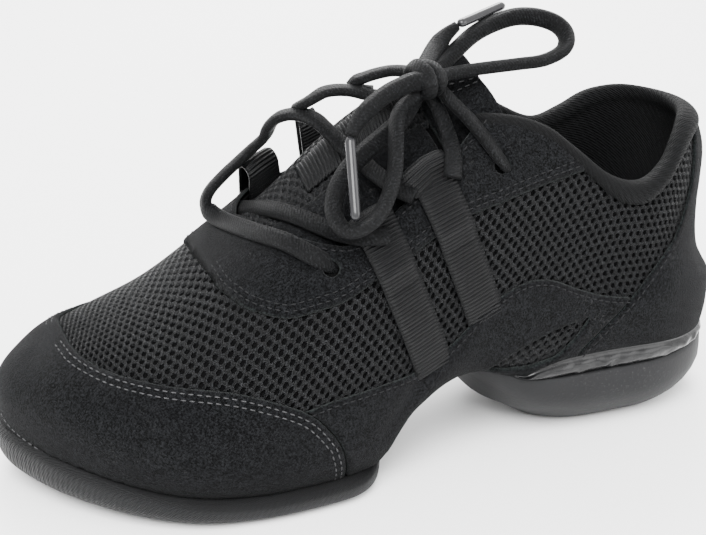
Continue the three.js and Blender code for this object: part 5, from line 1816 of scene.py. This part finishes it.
def ribbed_skin(rows, rib, outside):
    """A closed skin over rows of points, with ribs on its face; outside is a point off that face."""
    middle = rows[:, rows.shape[1] // 2]
    length = np.concatenate([[0], np.cumsum(np.linalg.norm(np.diff(middle, axis=0), axis=1))])
    at = np.linspace(0, length[-1], int(length[-1] / rib * 6))
    fine = np.stack([np.stack([np.interp(at, length, rows[:, j, k]) for k in range(3)], -1)
                     for j in range(rows.shape[1])], 1)
    normal = np.cross(np.gradient(fine, axis=0), np.gradient(fine, axis=1))
    normal /= np.linalg.norm(normal, axis=2)[..., None] + 1e-9
    over = np.linalg.norm(fine[5, 4] + normal[5, 4] - outside)
    if over > np.linalg.norm(fine[5, 4] - normal[5, 4] - outside):
        normal = -normal
    wave = RIB_HEIGHT * np.sin(2 * math.pi * at / rib)[:, None]
    face = fine + normal * (STRAP_EDGE[None] + wave * (STRAP_EDGE[None] > 0.4))[..., None]
    rear = fine - normal * (STRAP_EDGE[None] * 0.9)[..., None]
    return np.concatenate([face, rear[:, ::-1]], 1)


class SNEAKER_OT_webbing(bpy.types.Operator):
    """Add the ribbed webbing loops"""

    bl_idname = "sneaker.webbing"
    bl_label = "Webbing loops"

    def execute(self, context):
        rib = context.scene.sneaker_looks.rib_pitch / MM
        for name, low_at, low_up, top_at, inner_shift, inner_rise in LOOPS:
            for side, word in ((1, "lateral"), (-1, "medial")):
                shift = 0.0 if side > 0 else inner_shift
                low = (low_at + shift, low_up * INSTEP_HEIGHT - 3.0)
                top = top_at + shift
                leg = strap_leg(low, top, side)
                fold = strap_fold(leg, top, side, OUTER_STAND if side > 0 else inner_rise)
                outside = on_last(np.array([low[0] + 0.002]), np.array([low[1] + 1.0]), side, 9.0)[0]
                rings = ribbed_skin(np.vstack([leg, fold]), rib, outside)
                made = loft_piece(f"webbing_strap_{word}_{name}", rings, finish_for("webbing"))
                settle(made, [f"webbing_loop_{word}_{name}"])
        return {"FINISHED"}


INSTEP_HEART = np.array([92, 0, 45.0])
STRANDS = {
    "lace_strand_front": [
        (114.4, 31.4, 76.5), (117.4, 33.0, 78.1), (122.0, 33.0, 81.2), (125.6, 28.9, 82.9),
        (129.4, 24.4, 84.5), (134.1, 16.3, 84.6), (138.1, 5.2, 83.7), (141.0, -7.6, 82.4),
        (143.2, -13.0, 83.6), (144.1, -15.0, 86.3), (142.0, -16.2, 90.0), (136.9, -17.3, 94.3),
        (131.6, -18.5, 97.9), (127.0, -18.6, 101.5), (122.6, -16.0, 106.5), (121.6, -12.5, 111.5),
        (119.9, -8.8, 115.0), (116.1, -6.0, 116.6), (112.6, -1.9, 116.8), (109.7, 1.8, 115.6),
        (106.4, 4.2, 112.1), (103.1, 7.7, 108.4), (100.7, 13.7, 106.1), (98.0, 19.7, 103.1),
        (95.3, 24.6, 100.7), (92.3, 29.5, 98.7), (88.3, 33.0, 97.1),
    ],
    "lace_strand_inner": [
        (133, -22, 80.3), (130.8, -12, 83.5), (128.3, -4, 86), (125.2, 5, 87.6), (121.1, 14, 88),
        (116.6, 22.2, 87.2), (112.2, 28, 86.2), (108, 33.5, 86.4), (103.9, 36.5, 86.8), (99, 37, 86.6),
    ],
    "lace_strand_upper": [
        (113.0, -8.2, 118.1), (111.3, -3.4, 121.0), (109.0, -1.4, 123.1), (106.3, -0.7, 124.5),
        (102.2, 0.6, 125.1), (97.9, 2.3, 124.8), (93.7, 4.3, 123.8), (89.6, 6.7, 123.5),
        (84.6, 10.1, 125.1), (80.6, 14.4, 128.1),
    ],
    "lace_strand_turned": [
        (91, 2.5, 124), (94, 0.6, 124.2), (96.3, -0.6, 125.2), (95.6, -0.6, 127.2), (93, 0.4, 128.3),
        (89.4, 2.1, 129.7), (85.2, 5, 131), (82, 9.5, 131.6), (79, 14.5, 131.2),
    ],
    "lace_strand_rear": [
        (77.5, 14.4, 128), (75.6, 15.6, 124), (73.6, 17.5, 119.8), (72.4, 20.2, 115), (72, 23.5, 110.8),
        (72.9, 28.2, 107.5), (74.2, 31, 105), (75.2, 33, 102),
    ],
    "lace_strand_high": [
        (76.5, 14.1, 130), (72.8, 16.2, 126.5), (69.3, 19.2, 122.2), (66.1, 22.3, 118.5), (63.7, 25.5, 115.1),
        (60.8, 28.6, 110.6), (58.2, 30, 106.6), (55.6, 29.6, 103.4), (53.8, 27.6, 100.6),
    ],
}


class SNEAKER_OT_crossings(bpy.types.Operator):
    """Add the lace where it crosses the tongue"""

    bl_idname = "sneaker.crossings"
    bl_label = "Lace crossings"

    def execute(self, context):
        looks = context.scene.sneaker_looks
        profile = oval(looks.lace_width / MM, looks.lace_thickness / MM * 0.85, 16)
        lace = finish_for("lace")
        for index, (name, rows) in enumerate(STRANDS.items()):
            path = smooth_line(rows, LACE_STEP)
            outward = path - INSTEP_HEART
            rings = sweep_rings(path, outward / np.linalg.norm(outward, axis=1)[:, None], profile)
            settle(loft_piece(name, rings, lace), [] if index else ["lace_bars"])
        return {"FINISHED"}


STITCH_LENGTH = 0.0019
STITCH_RADIUS = 0.00026
STITCH_TOP = SUEDE_BASE + SUEDE + 0.05


def stitch_tree():
    """A node tree that lays stitches along curves."""
    tree = bpy.data.node_groups.new("stitch_rows", "GeometryNodeTree")
    made = {}
    tree.interface.new_socket(name="Geometry", in_out="INPUT", socket_type="NodeSocketGeometry")
    for label, value in (("Spacing", 0.0027), ("Length", STITCH_LENGTH), ("Radius", STITCH_RADIUS)):
        socket = tree.interface.new_socket(name=label, in_out="INPUT", socket_type="NodeSocketFloat")
        socket.default_value = value
        made[label] = socket.identifier
    made["Material"] = tree.interface.new_socket(name="Material", in_out="INPUT",
                                                 socket_type="NodeSocketMaterial").identifier
    tree.interface.new_socket(name="Geometry", in_out="OUTPUT", socket_type="NodeSocketGeometry")
    n = Nodes(tree)
    source, sink = n.add("NodeGroupInput"), n.add("NodeGroupOutput")
    points = n.add("GeometryNodeCurveToPoints", mode="LENGTH")
    bead = n.add("GeometryNodeMeshUVSphere", {"Segments": 6, "Rings": 4, "Radius": 1.0})
    size = n.add("ShaderNodeCombineXYZ")
    shaped = n.add("GeometryNodeTransform")
    turn = n.add("FunctionNodeAlignRotationToVector", axis="Z")
    place = n.add("GeometryNodeInstanceOnPoints")
    real = n.add("GeometryNodeRealizeInstances")
    smooth = n.add("GeometryNodeSetShadeSmooth")
    paint = n.add("GeometryNodeSetMaterial")
    link = tree.links.new
    link(source.outputs["Geometry"], points.inputs["Curve"])
    link(source.outputs["Spacing"], points.inputs["Length"])
    link(source.outputs["Radius"], size.inputs["X"])
    link(source.outputs["Radius"], size.inputs["Y"])
    link(n.math("MULTIPLY", source.outputs["Length"], 0.5), size.inputs["Z"])
    link(bead.outputs["Mesh"], shaped.inputs["Geometry"])
    link(size.outputs[0], shaped.inputs["Scale"])
    link(points.outputs["Points"], place.inputs["Points"])
    link(shaped.outputs["Geometry"], place.inputs["Instance"])
    link(points.outputs["Tangent"], turn.inputs["Vector"])
    link(turn.outputs["Rotation"], place.inputs["Rotation"])
    link(place.outputs["Instances"], real.inputs["Geometry"])
    link(real.outputs["Geometry"], smooth.inputs["Geometry"])
    link(smooth.outputs["Geometry"], paint.inputs["Geometry"])
    link(source.outputs["Material"], paint.inputs["Material"])
    link(paint.outputs["Geometry"], sink.inputs["Geometry"])
    return tree, made


def stitch_runs(line, distance, member, mapping=upper_map, height=STITCH_TOP):
    """The parts of a line, moved sideways, that lie on the piece."""
    moved = inset_line(line, distance, mapping)
    points = mapping(moved, np.full(len(moved), height))
    found, run = [], []
    for ok, point in zip([*member(moved), False], [*points, None]):
        if ok:
            run.append(point)
        else:
            found.extend([np.array(run)] if len(run) > 3 else [])
            run = []
    return found


def sew(name, rows, thread, tree, sockets, context):
    """Stitches along rows of points, as one mesh."""
    curve = bpy.data.curves.new(name + "_guides", "CURVE")
    curve.dimensions = "3D"
    for row in rows:
        row = even_steps(row, 0.9)
        spline = curve.splines.new("POLY")
        spline.points.add(len(row) - 1)
        places = np.hstack([row * MM, np.ones((len(row), 1))])
        spline.points.foreach_set("co", places.astype(np.float32).ravel())
    guides = bpy.data.objects.new(name + "_guides", curve)
    context.scene.collection.objects.link(guides)
    modifier = guides.modifiers.new("Stitches", "NODES")
    modifier.node_group = tree
    modifier[sockets["Spacing"]] = context.scene.sneaker_looks.stitch_spacing
    modifier[sockets["Material"]] = finish_for(thread)
    context.view_layer.update()
    graph = context.evaluated_depsgraph_get()
    mesh = bpy.data.meshes.new_from_object(guides.evaluated_get(graph), depsgraph=graph)
    mesh.name = name
    made = bpy.data.objects.new(name, mesh)
    context.scene.collection.objects.link(made)
    bpy.data.objects.remove(guides)
    settle(made)


def on_guard(points):
    return inside(points, REGIONS["guard"])


def on_stay(points):
    return inside(points, REGIONS["eyestay"]) & ~open_above(points)


def on_counter(points):
    return in_side(points, "counter") & ~in_side(points, "collar") & ~in_side(points, "band")


def on_panel(points):
    clear = ~on_guard(points) & ~in_side(points, "counter") & ~in_side(points, "window")
    return in_side(points, "panel") & clear & ~in_side(points, "band")


def everywhere(points):
    return np.ones(len(points), bool)


class SNEAKER_OT_stitches(bpy.types.Operator):
    """Sew the stitch rows with Geometry Nodes"""

    bl_idname = "sneaker.stitches"
    bl_label = "Stitches"

    def execute(self, context):
        light, dark = [], []
        for side in (1, -1):
            for distance in (2.0, 4.0, -2.0, -4.0):
                light += stitch_runs(LINES["guard"][side], distance, on_guard)
                dark += stitch_runs(LINES["eyestay"][side], distance, on_stay)
            for distance in (1.8, -1.8):
                dark += stitch_runs(LINES["counter"][side], distance, on_counter)
                dark += stitch_runs(LINES["panel"][side], distance, on_panel)
                dark += stitch_runs(LINES["throat"][side], distance * 1.2, on_stay)
                light += stitch_runs(feather(side, 178, Q_END), distance * 0.9, on_guard)
        for q in (9.0, 11.5):
            seam = even_steps(np.array([(80.0, q), (93.0, q + 6.0)]), 1.0)
            light += stitch_runs(seam, 0.0, everywhere, tongue_map, 1.5)
        tree, sockets = stitch_tree()
        sew("toe_guard_stitches", light, "thread", tree, sockets, context)
        sew("suede_stitches", dark, "dark thread", tree, sockets, context)
        return {"FINISHED"}


# Columns: how far the footbed's outline grows, height over the shoe's underside
INSOLE_EDGE = [(-8.0, 3.0), (-6.2, 3.0), (-5.4, 3.6), (-5.2, 4.6), (-5.6, 5.6), (-7.0, 5.8), (-10.0, 5.7)]
INSOLE_START, INSOLE_END = 0.012, 0.985


class SNEAKER_OT_insole(bpy.types.Operator):
    """Add the footbed"""

    bl_idname = "sneaker.insole"
    bl_label = "Insole"

    def execute(self, context):
        plan = rounded_plan(HEEL_ROUND, 2, TOE_ROUND, TOE_POWER)
        levels = [(INSOLE_START, INSOLE_END, grow, plan, lambda s, rise=rise: underside(s) + rise)
                  for grow, rise in INSOLE_EDGE]
        made = sole_piece("insole_cloth_bed", levels, finish_for("insole"), 80)
        settle(made, ["insole"])
        return {"FINISHED"}


class SNEAKER_PT_panel(bpy.types.Panel):
    """Buttons and settings of the sneaker"""

    bl_label = "Sneaker"
    bl_idname = "SNEAKER_PT_panel"
    bl_space_type = "VIEW_3D"
    bl_region_type = "UI"
    bl_category = "Sneaker"

    def draw(self, context):
        for prop in SneakerLooks.__annotations__:
            self.layout.prop(context.scene.sneaker_looks, prop)
        for step in STEPS:
            self.layout.operator(step.bl_idname)


STEPS = [
    SNEAKER_OT_stage, SNEAKER_OT_bow, SNEAKER_OT_soles, SNEAKER_OT_upper, SNEAKER_OT_suede, SNEAKER_OT_collar,
    SNEAKER_OT_tongue, SNEAKER_OT_webbing, SNEAKER_OT_crossings, SNEAKER_OT_stitches, SNEAKER_OT_insole,
]
CLASSES = [SneakerLooks, *STEPS, SNEAKER_PT_panel]


def register():
    for item in CLASSES:
        bpy.utils.register_class(item)
    bpy.types.Scene.sneaker_looks = PointerProperty(type=SneakerLooks)


def unregister():
    del bpy.types.Scene.sneaker_looks
    for item in reversed(CLASSES):
        bpy.utils.unregister_class(item)


def main():
    register()
    for step in STEPS:
        group, name = step.bl_idname.split(".")
        getattr(getattr(bpy.ops, group), name)()


if __name__ == "__main__":
    main()
